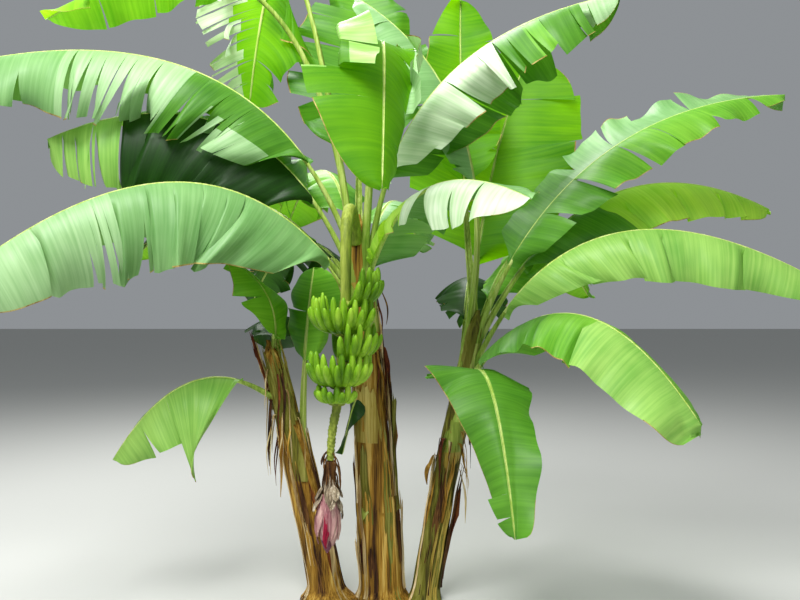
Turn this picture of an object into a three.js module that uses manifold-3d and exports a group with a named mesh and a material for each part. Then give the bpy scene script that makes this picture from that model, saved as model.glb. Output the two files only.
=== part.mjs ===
// Banana plant: a clump of three leaning stems with their leaves, a bunch of fruit and its bud.
// Millimetres, +Z up. The origin is the centre of the main stem's flat cut at ground level.
// The bunch hangs in front of the main stem, on the -Y side. +X is to the right of a person
// who faces the bunch. A heading is an angle in plan: 0 is +X, 90 is +Y, 270 is -Y.
import * as THREE from "three";
import { mergeVertices } from "three/addons/utils/BufferGeometryUtils.js";
import Module from "manifold-3d";

const wasm = await Module();
wasm.setup();

const GAP = 0.3; // kept between pieces that touch

// Stems: where the axis starts on the ground and ends at the top, and the radii there.
// The flare is added at the ground, and it brings each outer stem up to the main one.
const MAIN_FLARE = 34;
const STEMS = {
  centre: { base: [0, 0], top: [-129, 0], height: 2060, radius: [106, 54], flare: MAIN_FLARE },
  left: { base: [-290, 0], top: [-612, 0], height: 1385, radius: [88, 42] },
  right: { base: [231, 0], top: [516, 0], height: 1546, radius: [62, 42] },
};
const STEM_BOW = 1.12; // a stem leans more the higher it is
const STEM_SIDES = 14;
const STEM_SHEATHS = 5; // dry sheath ends, one above the other
const SHEATHS_FROM = 0.12; // where the first one is, as a part of the stem's height
const SHEATHS_REACH = 0.78; // and how far up they are spread
const SHEATH_STEP = 6; // how far each stands out
const SHEATH_REGROWTH = 0.06; // the part of the height after which the next one shows
const CLASP_FROM = 0.93; // where the clasping leaf bases start
const STEM_LOBES = 0.06; // how far the lobes stand out higher up
const LOBES_FULL_AT = 600;
const LOBE_TURN_HEIGHT = 260;
const FLARE_HEIGHT = 90;

// Leaves: the height of the foot on the stem, the heading, and two points of the midrib, the
// crest and the tip, each as distance out from the stem's axis and height. Fold is how far the
// left and the right half of the blade hang down, in degrees. Sway carries the tip aside.
// Stalk is the bare part of a leaf's length, where it isn't the usual one. Roll turns the
// blade about its midrib.
const LEAVES = [
  { stem: "centre", foot: 1620, heading: 207, crest: [690, 2130], tip: [1950, 1660],
    width: 1000, fold: [80, 30], tears: 6, stalk: 0.1 },
  { stem: "centre", foot: 1850, heading: 187, crest: [599, 2651], tip: [2037, 2791],
    width: 960, fold: [76, 4], tears: 7 },
  { stem: "centre", foot: 1725, heading: 184, crest: [817, 2552], tip: [1646, 2440],
    width: 1100, fold: [82, -14], tears: 5 },
  { stem: "centre", foot: 1962, heading: 183, crest: [850, 3345], tip: [1650, 3075],
    width: 600, fold: [25, 25], tears: 3, stalk: 0.55 },
  { stem: "centre", foot: 1765, heading: 144, crest: [668, 3503], tip: [864, 2774],
    width: 720, fold: [18, 18], tears: 4, stalk: 0.52, roll: 56 },
  { stem: "centre", foot: 1540, heading: 160, crest: [750, 2160], tip: [1500, 1850],
    width: 560, fold: [35, 35], tears: 4 },
  { stem: "centre", foot: 2000, heading: 93, crest: [480, 2780], tip: [640, 3540],
    width: 860, fold: [-10, -10], tears: 4, stalk: 0.3 },
  { stem: "centre", foot: 1850, heading: 303, crest: [420, 2840], tip: [960, 2050],
    width: 660, fold: [36, 8], tears: 3, stalk: 0.26, sway: 460 },
  { stem: "centre", foot: 1775, heading: 339, crest: [480, 2740], tip: [1350, 3060],
    width: 760, fold: [76, 66], tears: 7 },
  { stem: "centre", foot: 1700, heading: 312, crest: [466, 2146], tip: [1068, 2050],
    width: 600, fold: [10, 50], tears: 3, stalk: 0.05, sway: -100 },
  { stem: "centre", foot: 1680, heading: 116, crest: [600, 2380], tip: [1300, 2100],
    width: 600, fold: [35, 35], tears: 4 },
  { stem: "centre", foot: 1740, heading: 74, crest: [600, 2200], tip: [1230, 1930],
    width: 510, fold: [35, 35], tears: 4 },
  { stem: "centre", foot: 1600, heading: 125, crest: [700, 1960], tip: [1400, 1600],
    width: 560, fold: [35, 35], tears: 4 },
  { stem: "centre", foot: 600, heading: 205, crest: [101, 1080], tip: [194, 785],
    width: 150, fold: [12, 12], tears: 0, stalk: 0.58 },
  { stem: "right", foot: 1235, heading: 350, crest: [598, 1883], tip: [1851, 1640],
    width: 640, fold: [20, 72], tears: 4, stalk: 0.14 },
  { stem: "right", foot: 1475, heading: 5, crest: [913, 2520], tip: [1745, 2741],
    width: 600, fold: [-18, 42], tears: 6, stalk: 0.14 },
  { stem: "right", foot: 1350, heading: 16, crest: [995, 2242], tip: [1925, 2146],
    width: 560, fold: [30, 62], tears: 3 },
  { stem: "right", foot: 1170, heading: 316, crest: [614, 1532], tip: [1300, 1066],
    width: 690, fold: [34, 30], tears: 2, stalk: 0.08 },
  { stem: "right", foot: 1060, heading: 281, crest: [273, 1237], tip: [896, 574],
    width: 520, fold: [15, 15], tears: 0, stalk: 0.16 },
  { stem: "right", foot: 1400, heading: 84, crest: [570, 2328], tip: [798, 3130],
    width: 980, fold: [-8, -8], tears: 3, stalk: 0.27, sway: 325 },
  { stem: "right", foot: 1500, heading: 100, crest: [330, 2450], tip: [500, 3400],
    width: 480, fold: [-10, -10], tears: 3, stalk: 0.4, sway: 40 },
  { stem: "right", foot: 1420, heading: 152, crest: [211, 2819], tip: [746, 3364],
    width: 420, fold: [50, 60], tears: 3, stalk: 0.34 },
  { stem: "right", foot: 1200, heading: 48, crest: [650, 1930], tip: [1350, 1620],
    width: 560, fold: [35, 35], tears: 4 },
  { stem: "right", foot: 1110, heading: 80, crest: [600, 1740], tip: [1150, 1330],
    width: 540, fold: [35, 35], tears: 4 },
  { stem: "left", foot: 1070, heading: 197, crest: [306, 1189], tip: [862, 790],
    width: 560, fold: [75, 20], tears: 3 },
  { stem: "left", foot: 1240, heading: 165, crest: [60, 1653], tip: [248, 1819],
    width: 420, fold: [14, 14], tears: 1, sway: -50 },
  { stem: "left", foot: 760, heading: 56, crest: [54, 1160], tip: [138, 1780],
    width: 400, fold: [20, 20], tears: 1, stalk: 0.5 },
  { stem: "left", foot: 1180, heading: 98, crest: [350, 1500], tip: [780, 1280],
    width: 440, fold: [30, 30], tears: 2 },
];
const USUAL_STALK = 0.2;
const ROLLED_BY = 0.5; // the part of the length in which a blade takes its roll
const FOOT_OUT = 0.7; // the foot's place between the stem's axis and its side
const STALK_RADIUS = [24, 14]; // at the foot, and where the blade starts
const RIB_TIP_RADIUS = 5;
const BLADE_GROWN_BY = 0.06; // the part of the blade in which it takes its full width
const TEAR_HALF_GAP = 0.014; // half a tear's opening at the margin, as a part of the blade
const TEARS_FROM = 0.1;
const TEARS_REACH = 0.84;
const LEFT_TORN_UNDER = 0.6; // a tear's pick from 0 to 1 says which halves it cuts
const RIGHT_TORN_OVER = 0.35;
const BLADE_THICKNESS = 0.01; // as a part of the leaf's length
const VEIN_SWEEP = 0.2; // how far the margin is drawn towards the tip, as a part of the width
const TORN_DROOP = 24; // degrees between the lowest and the highest strip of a blade
const PLAIN_STATIONS = [0, 0.03, 0.1, 0.25, 0.45, 0.65, 0.85, 0.96];

// Uses of the steady scatter: which halves a tear cuts, and how far each half's strips hang.
const TEAR_PICK = 40;
const LEFT_DROOP = 60;
const RIGHT_DROOP = 80;

// Fruit stalk: points of its curve from the crown down to the bud.
const FRUIT_STALK = [
  [-135, -31, 1905],
  [-158, -120, 2065],
  [-172, -235, 2010],
  [-174, -300, 1850],
  [-176, -310, 1500],
  [-205, -310, 1150],
  [-240, -305, 950],
  [-252, -300, 800],
];
const FRUIT_STALK_RADIUS = [36, 18];
const FRUIT_STALK_SIDES = 8;
const FRUIT_STALK_STEPS = 24;

// Hands of fruit: the height of the pad, the way it faces, how far round it spreads in
// degrees, its number of fingers and a finger's length.
const HANDS = [
  { height: 1572, heading: 350, spread: 110, fingers: 7, length: 205 },
  { height: 1440, heading: 228, spread: 216, fingers: 11, length: 200 },
  { height: 1306, heading: 10, spread: 200, fingers: 9, length: 205 },
  { height: 1178, heading: 246, spread: 216, fingers: 12, length: 182 },
  { height: 1098, heading: 235, spread: 180, fingers: 6, length: 95 },
];
const FINGER_RADIUS = 21;
const FINGER_SIDES = 4;
const PAD_RADIUS = 56;
const PAD_HEIGHT = 40;

// Bud: its length and greatest radius, and the withered bracts that stand off it.
const BUD = { top: [-252, -300, 795], length: 460, radius: 62, lean: -2 };
const BRACTS = 9;

const COLOURS = {
  stem: 0x9c7b3c,
  leaf: 0x5f9a35,
  fruit: 0x7fae35,
  bud: 0x8f5068,
};

const RAD = Math.PI / 180;

// A steady number from 0 to 1 for one item and one use of it.
function scatter(item, use) {
  const wave = Math.sin(item * 12.9898 + use * 78.233) * 43758.5453;
  return wave - Math.floor(wave);
}

function mix(from, to, share) {
  return from + (to - from) * share;
}

// A closed solid through rings of equally many points, with a flat fan over each end.
// The points of a ring turn right-handed about the way from the first ring to the last.
function loft(rings) {
  const sides = rings[0].length;
  const points = rings.flat().flatMap((p) => [p.x, p.y, p.z]);
  const faces = [];
  for (let row = 0; row + 1 < rings.length; row++) {
    for (let side = 0; side < sides; side++) {
      const here = row * sides + side;
      const beside = row * sides + ((side + 1) % sides);
      faces.push(here, beside, beside + sides);
      faces.push(here, beside + sides, here + sides);
    }
  }
  const last = (rings.length - 1) * sides;
  for (let side = 1; side + 1 < sides; side++) {
    faces.push(0, side + 1, side);
    faces.push(last, last + side, last + side + 1);
  }
  const geometry = new THREE.BufferGeometry();
  geometry.setAttribute("position", new THREE.Float32BufferAttribute(points, 3));
  geometry.setIndex(faces);
  return geometry;
}

// A geometry as a solid that can be cut and joined, and a solid as a geometry.
function solid(geometry) {
  const merged = mergeVertices(geometry, 1e-3);
  const mesh = new wasm.Mesh({
    numProp: 3,
    vertProperties: merged.attributes.position.array,
    triVerts: new Uint32Array(merged.index.array),
  });
  return new wasm.Manifold(mesh);
}

function geometryOf(body) {
  const mesh = body.getMesh();
  const geometry = new THREE.BufferGeometry();
  geometry.setAttribute("position", new THREE.BufferAttribute(mesh.vertProperties, 3));
  geometry.setIndex(new THREE.BufferAttribute(mesh.triVerts, 1));
  return geometry;
}

// A cut can leave a loose scrap, which is dropped.
function largest(body) {
  return body.decompose().sort((a, b) => b.volume() - a.volume())[0];
}

// A round ring about a point, across a direction.
function ring(centre, along, radius, sides) {
  const aside = new THREE.Vector3(1, 0, 0);
  if (Math.abs(along.x) > 0.8) aside.set(0, 1, 0);
  const across = new THREE.Vector3().crossVectors(along, aside).normalize();
  return Array.from({ length: sides }, (_, side) =>
    across
      .clone()
      .applyAxisAngle(along, (side / sides) * 2 * Math.PI)
      .multiplyScalar(radius)
      .add(centre),
  );
}

// A tapering round limb along a curve.
function limb(curve, steps, sides, radiusAt) {
  const rings = [];
  for (let step = 0; step <= steps; step++) {
    const share = step / steps;
    const along = curve.getTangentAt(share);
    rings.push(ring(curve.getPointAt(share), along, radiusAt(share), sides));
  }
  return loft(rings);
}

// Stems

// The axis of a stem at a height, and the way it leans.
function stemPoint(name, height) {
  const { base, top, height: full } = STEMS[name];
  const share = (height / full) ** STEM_BOW;
  return new THREE.Vector3(mix(base[0], top[0], share), mix(base[1], top[1], share), height);
}

// The flare of an outer stem ends the gap from the main stem's flare to its own radius.
function flareOf(name) {
  const { base, radius, flare } = STEMS[name];
  if (flare) return flare;
  const apart = Math.hypot(base[0], base[1]);
  return apart - STEMS.centre.radius[0] - MAIN_FLARE - GAP - radius[0] - SHEATH_STEP * 2;
}

function stemRadius(name, height) {
  const { radius, height: full } = STEMS[name];
  const share = height / full;
  const flare = flareOf(name) * Math.max(0, 1 - height / FLARE_HEIGHT) ** 2;
  return mix(radius[0], radius[1], share) + flare;
}

// A stem is a stack of level rings. Each dry sheath ends in a step, the lowest ones last,
// and the rings are a little lobed higher up, where the leaf bases clasp each other.
function stemSolid(name, grow) {
  const full = STEMS[name].height;
  const heights = [[0, 1], [FLARE_HEIGHT * 0.4, 1], [FLARE_HEIGHT, 1]];
  for (let sheath = 1; sheath <= STEM_SHEATHS; sheath++) {
    const end = full * (SHEATHS_FROM + (SHEATHS_REACH * sheath) / (STEM_SHEATHS + 1));
    heights.push([end, 1], [end + SHEATH_STEP, 0], [end + full * SHEATH_REGROWTH, 0.2]);
  }
  heights.push([full * CLASP_FROM, 0.5], [full, 0]);
  const rings = heights.map(([height, step]) => {
    const centre = stemPoint(name, height);
    const lobes = STEM_LOBES * Math.min(1, height / LOBES_FULL_AT);
    return Array.from({ length: STEM_SIDES }, (_, side) => {
      const angle = (side / STEM_SIDES) * 2 * Math.PI;
      const lobe = 1 + lobes * Math.cos(3 * angle + height / LOBE_TURN_HEIGHT);
      const radius = stemRadius(name, height) * lobe + step * SHEATH_STEP + grow;
      return new THREE.Vector3(
        centre.x + radius * Math.cos(angle),
        centre.y + radius * Math.sin(angle),
        height,
      );
    });
  });
  if (grow) {
    for (const point of rings[0]) point.z -= grow;
    for (const point of rings[rings.length - 1]) point.z += grow;
  }
  return solid(loft(rings));
}

// Leaves

// The midrib is the parabola through foot, crest and tip, in the upright plane of the
// heading. Its parameter runs with the two chords, so its steps are nearly even.
function midrib(leaf) {
  const foot = stemPoint(leaf.stem, leaf.foot);
  const out = new THREE.Vector3(Math.cos(leaf.heading * RAD), Math.sin(leaf.heading * RAD), 0);
  const aside = new THREE.Vector3(out.y, -out.x, 0);
  const start = new THREE.Vector2(FOOT_OUT * stemRadius(leaf.stem, leaf.foot), leaf.foot);
  const crest = new THREE.Vector2(...leaf.crest);
  const tip = new THREE.Vector2(...leaf.tip);
  const first = start.distanceTo(crest);
  const second = crest.distanceTo(tip);
  const middle = first / (first + second);
  const weights = (t) => [
    ((t - middle) * (t - 1)) / middle,
    (t * (t - 1)) / (middle * (middle - 1)),
    (t * (t - middle)) / (1 - middle),
  ];
  const place = (t) => {
    const [a, b, c] = weights(t);
    return new THREE.Vector3(foot.x, foot.y, a * start.y + b * crest.y + c * tip.y)
      .addScaledVector(out, a * start.x + b * crest.x + c * tip.x)
      .addScaledVector(aside, (leaf.sway || 0) * t * t);
  };
  return { place, aside, length: first + second };
}

// Half a blade's width as a part of the greatest: quickly round at the base, then nearly
// even, then drawn in to the tip.
function bladeShape(v) {
  return Math.sin(Math.PI * Math.min(1, v) ** 0.82) ** 0.5;
}

// Each tear has its place along the blade and cuts one half or both.
function tearsOf(leaf, item) {
  return Array.from({ length: leaf.tears }, (_, tear) => {
    const share = (tear + 0.25 + 0.5 * scatter(item, tear)) / leaf.tears;
    const pick = scatter(item, tear + TEAR_PICK);
    return {
      place: TEARS_FROM + TEARS_REACH * share,
      left: pick < LEFT_TORN_UNDER,
      right: pick > RIGHT_TORN_OVER,
    };
  });
}

// The share of the half blade that is left at a place: down to the rib in a tear.
function leftOver(tears, side, v) {
  const cuts = tears.filter((tear) => tear[side]);
  return Math.min(1, ...cuts.map((tear) => Math.abs(tear.place - v) / TEAR_HALF_GAP));
}

function stationsOf(tears) {
  const apart = TEAR_HALF_GAP * 2.4;
  const near = (v) => tears.some((tear) => Math.abs(tear.place - v) < apart);
  const places = PLAIN_STATIONS.filter((v) => !near(v));
  for (const { place } of tears) {
    places.push(place - TEAR_HALF_GAP, place, place + TEAR_HALF_GAP);
  }
  return places.sort((a, b) => a - b);
}

// One section of a leaf: eight points round the rib and the two halves.
function leafSection(leaf, item, rib, tears, t) {
  const step = 1e-3;
  const centre = rib.place(t);
  const along = rib.place(t + step).sub(rib.place(t - step)).normalize();
  const bare = leaf.stalk || USUAL_STALK;
  const v = Math.max(0, (t - bare) / (1 - bare));
  const turn = (leaf.roll || 0) * Math.min(1, t / ROLLED_BY) * RAD;
  const up = new THREE.Vector3().crossVectors(rib.aside, along).normalize();
  up.applyAxisAngle(along, turn);
  const aside = new THREE.Vector3().crossVectors(along, up);
  const blade = Math.min(1, v / BLADE_GROWN_BY);
  const stalk = Math.min(1, t / bare);
  const ribRadius = mix(mix(...STALK_RADIUS, stalk), RIB_TIP_RADIUS, v);
  const thickness = mix(1.3 * ribRadius, rib.length * BLADE_THICKNESS * mix(1, 0.45, v), blade);
  const half = (side, sign, fold) => {
    const strip = tears.filter((tear) => tear[side] && tear.place < v).length;
    const use = strip + (sign > 0 ? RIGHT_DROOP : LEFT_DROOP);
    const droop = tears.length ? (scatter(item, use) - 0.5) * TORN_DROOP : 0;
    const full = Math.max(ribRadius, (leaf.width / 2) * bladeShape(v) * blade);
    const width = mix(ribRadius, full, leftOver(tears, side, v));
    const inner = (fold * 0.8 + droop * 0.4) * blade * RAD;
    const outer = (fold * 1.15 + droop) * blade * RAD;
    const split = mix(0.7, 0.5, blade) * width;
    const middle = centre
      .clone()
      .addScaledVector(aside, sign * split * Math.cos(inner))
      .addScaledVector(up, -split * Math.sin(inner));
    const edge = middle
      .clone()
      .addScaledVector(aside, sign * (width - split) * Math.cos(outer))
      .addScaledVector(up, -(width - split) * Math.sin(outer))
      .addScaledVector(along, (width - ribRadius) * VEIN_SWEEP);
    middle.addScaledVector(along, (width - ribRadius) * VEIN_SWEEP * 0.4);
    const lift = up.clone().multiplyScalar(Math.cos(inner));
    lift.addScaledVector(aside, sign * Math.sin(inner)).multiplyScalar(thickness / 2);
    return { edge, top: middle.clone().add(lift), under: middle.clone().sub(lift) };
  };
  const left = half("left", -1, leaf.fold[0]);
  const right = half("right", 1, leaf.fold[1]);
  const ribTop = centre.clone().addScaledVector(up, ribRadius);
  const keel = centre.clone().addScaledVector(up, -ribRadius);
  return [right.edge, right.under, keel, left.under, left.edge, left.top, ribTop, right.top];
}

// A leaf from its foot inside the stem to its tip, seated on the stem.
function leafSolid(leaf, item, seat) {
  const rib = midrib(leaf);
  const tears = tearsOf(leaf, item);
  const bare = leaf.stalk || USUAL_STALK;
  const stalk = [0.03, 0.3, 0.65].map((share) => share * bare);
  const blade = stationsOf(tears).map((v) => mix(bare, 1, v));
  const rings = [...stalk, ...blade].map((t) => leafSection(leaf, item, rib, tears, t));
  rings.push(leafSection(leaf, item, rib, [], 1));
  return largest(solid(loft(rings)).subtract(seat));
}

// Fruit

function fruitStalkCurve() {
  return new THREE.CatmullRomCurve3(FRUIT_STALK.map((p) => new THREE.Vector3(...p)));
}

function fruitStalkSolid(grow) {
  const radiusAt = (share) => mix(...FRUIT_STALK_RADIUS, share) + grow;
  return solid(limb(fruitStalkCurve(), FRUIT_STALK_STEPS, FRUIT_STALK_SIDES, radiusAt));
}

// The point of the fruit stalk's curve that is at a height below its bend.
function fruitStalkPoint(height) {
  const curve = fruitStalkCurve();
  let low = 0.35;
  let high = 1;
  for (let round = 0; round < 30; round++) {
    const middle = (low + high) / 2;
    if (curve.getPointAt(middle).z > height) low = middle;
    else high = middle;
  }
  return curve.getPointAt(low);
}

// A finger leaves the pad outwards and bends up. It is fullest in the middle.
function finger(centre, heading, length, rise) {
  const out = new THREE.Vector3(Math.cos(heading), Math.sin(heading), 0);
  const at = (reach, height) =>
    centre.clone().addScaledVector(out, reach).add(new THREE.Vector3(0, 0, height));
  const curve = new THREE.QuadraticBezierCurve3(
    at(PAD_RADIUS * 0.8, 0),
    at(PAD_RADIUS + length * 0.5, length * 0.05),
    at(PAD_RADIUS + length * (0.95 - 0.5 * rise), length * rise),
  );
  const fullness = [0.5, 0.95, 1, 0.35];
  const radiusAt = (share) => FINGER_RADIUS * fullness[Math.round(share * 3)];
  return solid(limb(curve, 3, FINGER_SIDES, radiusAt));
}

// A hand: a pad round the fruit stalk, with two rows of fingers that bend up.
function handSolid(hand, item, seat) {
  const centre = fruitStalkPoint(hand.height);
  const profile = [[0.6, -0.5], [1, -0.1], [0.8, 0.5]];
  const rings = profile.map(([width, height]) => {
    const middle = centre.clone().add(new THREE.Vector3(0, 0, height * PAD_HEIGHT));
    return ring(middle, new THREE.Vector3(0, 0, 1), PAD_RADIUS * width, 8);
  });
  let body = solid(loft(rings));
  for (let count = 0; count < hand.fingers; count++) {
    const place = (count + 0.3 * scatter(item, count)) / (hand.fingers - 0.7) - 0.5;
    const heading = (hand.heading + hand.spread * place) * RAD;
    const length = hand.length * mix(0.92, 1.05, scatter(item, count + 20));
    body = body.add(finger(centre, heading, length, count % 2 ? 0.78 : 0.52));
  }
  return largest(body.subtract(seat));
}

// The bud: a drop of closed bracts under a skirt of withered ones.
function budSolid(seat) {
  const top = new THREE.Vector3(...BUD.top);
  const lean = new THREE.Vector3(Math.sin(BUD.lean * RAD), 0, -Math.cos(BUD.lean * RAD));
  const at = (share) => top.clone().addScaledVector(lean, share * BUD.length);
  const profile = [[-0.02, 0.35], [0.1, 0.6], [0.3, 0.7], [0.5, 1], [0.68, 0.95], [0.86, 0.6], [1, 0.12]];
  const rings = profile.map(([share, width]) => ring(at(share), lean, BUD.radius * width, 8));
  let body = solid(loft(rings));
  for (let bract = 0; bract < BRACTS; bract++) {
    const turn = (2 * Math.PI * bract) / BRACTS + scatter(bract, 5);
    const start = 0.05 + 0.3 * scatter(bract, 6);
    const out = new THREE.Vector3(Math.cos(turn), Math.sin(turn), 0);
    const spread = BUD.radius * mix(1.1, 1.6, scatter(bract, 7));
    const curve = new THREE.QuadraticBezierCurve3(
      at(start),
      at(start + 0.08).addScaledVector(out, spread),
      at(start + 0.36).addScaledVector(out, spread * 0.95),
    );
    body = body.add(solid(limb(curve, 3, 4, (share) => mix(16, 9, share))));
  }
  return body.subtract(seat);
}

// The clump

const clump = new THREE.Group();

function addNode(name, body, colour) {
  const material = new THREE.MeshStandardMaterial({ color: colour, roughness: 0.6, metalness: 0 });
  const mesh = new THREE.Mesh(geometryOf(body), material);
  mesh.name = name;
  clump.add(mesh);
}

const seats = {};
for (const name of Object.keys(STEMS)) {
  seats[name] = stemSolid(name, GAP);
  addNode("stem_" + name, stemSolid(name, 0), COLOURS.stem);
}

const counts = {};
LEAVES.forEach((leaf, item) => {
  counts[leaf.stem] = (counts[leaf.stem] || 0) + 1;
  const name = "leaf_" + leaf.stem + "_" + String(counts[leaf.stem]).padStart(2, "0");
  addNode(name, leafSolid(leaf, item, seats[leaf.stem]), COLOURS.leaf);
});

const stalkSeat = fruitStalkSolid(GAP);
addNode("fruit_stalk", fruitStalkSolid(0).subtract(seats.centre), COLOURS.fruit);
HANDS.forEach((hand, item) => {
  addNode("hand_" + (item + 1), handSolid(hand, item, stalkSeat), COLOURS.fruit);
});
addNode("flower_bud", budSolid(stalkSeat), COLOURS.bud);

export default clump;
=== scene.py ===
# %% [markdown]
# # A banana plant in fruit
# A banana plant looks like a tree, but it is a giant herb. Its stem is a roll of leaf bases, one
# inside the other, and each leaf leaves the roll through a gutter-shaped stalk. This lesson takes
# the imported model of a clump of three leaning stems as its frame, and grows the fine surface
# of stems, leaves, fruit and bud round it. The frame is loaded first, because every size and
# place below is given in its own space.

# %% Load the frame
from types import SimpleNamespace
import bpy
import bmesh
import numpy as np
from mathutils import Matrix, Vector


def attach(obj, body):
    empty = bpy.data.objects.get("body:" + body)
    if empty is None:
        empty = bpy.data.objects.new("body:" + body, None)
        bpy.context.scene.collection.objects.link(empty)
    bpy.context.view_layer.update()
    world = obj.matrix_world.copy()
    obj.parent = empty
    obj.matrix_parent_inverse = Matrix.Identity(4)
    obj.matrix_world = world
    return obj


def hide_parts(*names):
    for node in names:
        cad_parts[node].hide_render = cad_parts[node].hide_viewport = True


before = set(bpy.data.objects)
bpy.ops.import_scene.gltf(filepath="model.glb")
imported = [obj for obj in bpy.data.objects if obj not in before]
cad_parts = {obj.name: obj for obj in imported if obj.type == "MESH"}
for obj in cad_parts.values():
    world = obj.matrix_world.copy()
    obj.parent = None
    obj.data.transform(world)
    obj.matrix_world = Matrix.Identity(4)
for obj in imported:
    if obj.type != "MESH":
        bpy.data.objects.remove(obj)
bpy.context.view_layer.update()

# %% [markdown]
# ## Camera
# The photograph was taken from about 4.3 m in front of the main stem, with a level camera at
# eye height and a lens of moderate width. Nothing is tilted or shifted, so upright things stay
# upright. A sensor and a lens of 36 mm each give that field of view. The Standard view
# transform is used, because it shows bright greens as strong as they are.

# %% The camera
EYE = (0.097, -4.3, 1.6)
LENS = 36.0  # millimetres, and the sensor is as wide
SIGHT = 200.0

view = bpy.data.cameras.new("eye_level")
view.sensor_width = LENS
view.lens = LENS
view.clip_end = SIGHT
camera = bpy.data.objects.new("eye_level", view)
camera.location = EYE
camera.rotation_euler = (np.pi / 2, 0, 0)
bpy.context.scene.collection.objects.link(camera)
bpy.context.scene.camera = camera
bpy.context.scene.view_settings.view_transform = "Standard"
print("camera at", EYE)

# %% [markdown]
# ## Light
# The plant stands under a bright open sky with the sun high behind it: upper faces shine, and
# blades that are seen from below glow. A studio does this with one large soft lamp high up at
# the back, a weaker one over the camera, and a pale room. Point lamps would give hard
# spots on waxy leaves, so only area lamps are used, and each is a few metres wide.

# %% Lamps and room
LAMPS = {
    "sky_behind": {"place": (-1.4, 3.2, 6.8), "aim": (0.0, 0.0, 2.2), "size": 3.6, "watts": 560},
    "sky_above": {"place": (-1.6, -3.4, 6.8), "aim": (0.0, 0.0, 1.8), "size": 3.2, "watts": 620},
    "front_fill": {"place": (1.8, -6.5, 3.2), "aim": (0.0, 0.0, 1.4), "size": 4.0, "watts": 70},
}
ROOM_LIGHT = 0.3
ROOM_COLOUR = (0.9, 0.95, 1.0, 1.0)

for name, lamp in LAMPS.items():
    light = bpy.data.lights.new(name, "AREA")
    light.size = lamp["size"]
    light.energy = lamp["watts"]
    holder = bpy.data.objects.new(name, light)
    holder.location = lamp["place"]
    way = Vector(lamp["aim"]) - Vector(lamp["place"])
    holder.rotation_euler = way.to_track_quat("-Z", "Y").to_euler()
    bpy.context.scene.collection.objects.link(holder)
room = bpy.data.worlds.new("pale_room")
room.use_nodes = True
room.node_tree.nodes["Background"].inputs["Color"].default_value = ROOM_COLOUR
room.node_tree.nodes["Background"].inputs["Strength"].default_value = ROOM_LIGHT
bpy.context.scene.world = room
print("lamps:", len(LAMPS), "and a room at", ROOM_LIGHT)

# %% [markdown]
# ## Small numbers that repeat
# A plant is never quite even, but its unevenness has to come out the same every time. A steady
# scatter takes the fraction of a large sine wave, so the same item and the same use always give
# the same number. It is the rule that the frame's own leaves were torn by, so the fine
# tears fall where the coarse ones are.

# %% Scatter, mix and smooth
MM = 0.001


def scatter(item, use):
    """A steady number from 0 to 1: the fraction of 43758.5453 sin(12.9898 item + 78.233 use)."""
    wave = np.sin(np.asarray(item) * 12.9898 + np.asarray(use) * 78.233) * 43758.5453
    return wave - np.floor(wave)


def picks(item, first, count):
    """Some steady numbers of one item, one for each use from the first on."""
    return [float(scatter(item, first + use)) for use in range(count)]


def pick_one(choices, pick):
    """The choice that a number from 0 to 1 falls on."""
    return choices[int(pick * (len(choices) - 0.01))]


def mix(start, end, share):
    """The number that lies a share of the way from start to end."""
    return start + (end - start) * share


def smooth(share):
    """Rises from 0 to 1 with level ends: 3 s^2 - 2 s^3 of the share held between 0 and 1."""
    held = np.clip(share, 0.0, 1.0)
    return held * held * (3.0 - 2.0 * held)


def unit(vectors):
    """Each vector over its own length."""
    return vectors / np.linalg.norm(vectors, axis=-1, keepdims=True)


def round_angles(count):
    """Even angles round a circle, from 0 to just short of a whole turn."""
    return np.linspace(0, 2 * np.pi, count, endpoint=False)


print("scatter of 1 and 2:", round(float(scatter(1, 2)), 4))

# %% [markdown]
# ## From grids to meshes
# Every part of this plant is a skin that can be laid out on a grid: along a leaf and across it,
# up a stem and round it. A patch is such a grid of points, and where its pattern follows it,
# a second grid of flat places. Several patches become one mesh, each with a finish of its own.
# Whole arrays go into the mesh at once, which is far quicker than adding faces one by one.

# %% Patches
def patch_of(points, places=None, finish=0, round_it=False, joined=None, flip=False):
    """Quads between neighbours of a grid of points, row by row. Places are for a pattern that
    follows the skin, a round grid closes its rows, joined says which rows hold on to the next,
    and flip turns the faces over."""
    rows, columns = points.shape[:2]
    if places is None:
        places = np.zeros((rows, columns, 2))
    across = columns if round_it else columns - 1
    here = np.arange(rows - 1)[:, None] * columns + np.arange(across)
    beside = np.arange(rows - 1)[:, None] * columns + (np.arange(across) + 1) % columns
    quads = np.stack([here, beside, beside + columns, here + columns], axis=-1)
    if flip:
        quads = quads[..., ::-1]
    finishes = np.broadcast_to(finish, quads.shape[:2])
    if joined is not None:
        quads, finishes = quads[joined], finishes[joined]
    return points.reshape(-1, 3), quads.reshape(-1, 4), places.reshape(-1, 2), finishes.ravel()


def closed(points, first, last):
    """A round grid with one more row at each end, all of it in one point, which closes it."""
    ends = [np.broadcast_to(end, (1, points.shape[1], 3)) for end in (first, last)]
    return np.concatenate([ends[0], points, ends[1]])


print("a grid of two by two points has", len(patch_of(np.zeros((2, 2, 3)))[1]), "face")

# %% [markdown]
# ## From meshes to pieces
# A piece of the plant is one mesh of several patches. It sits at the origin with its place in
# its points, as the frame's own nodes do, it rides on the root body, and it is told which plain
# solids it stands for. Tubes that end in a point are welded there.

# %% Pieces
WELD = 1e-5  # metres


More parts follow.
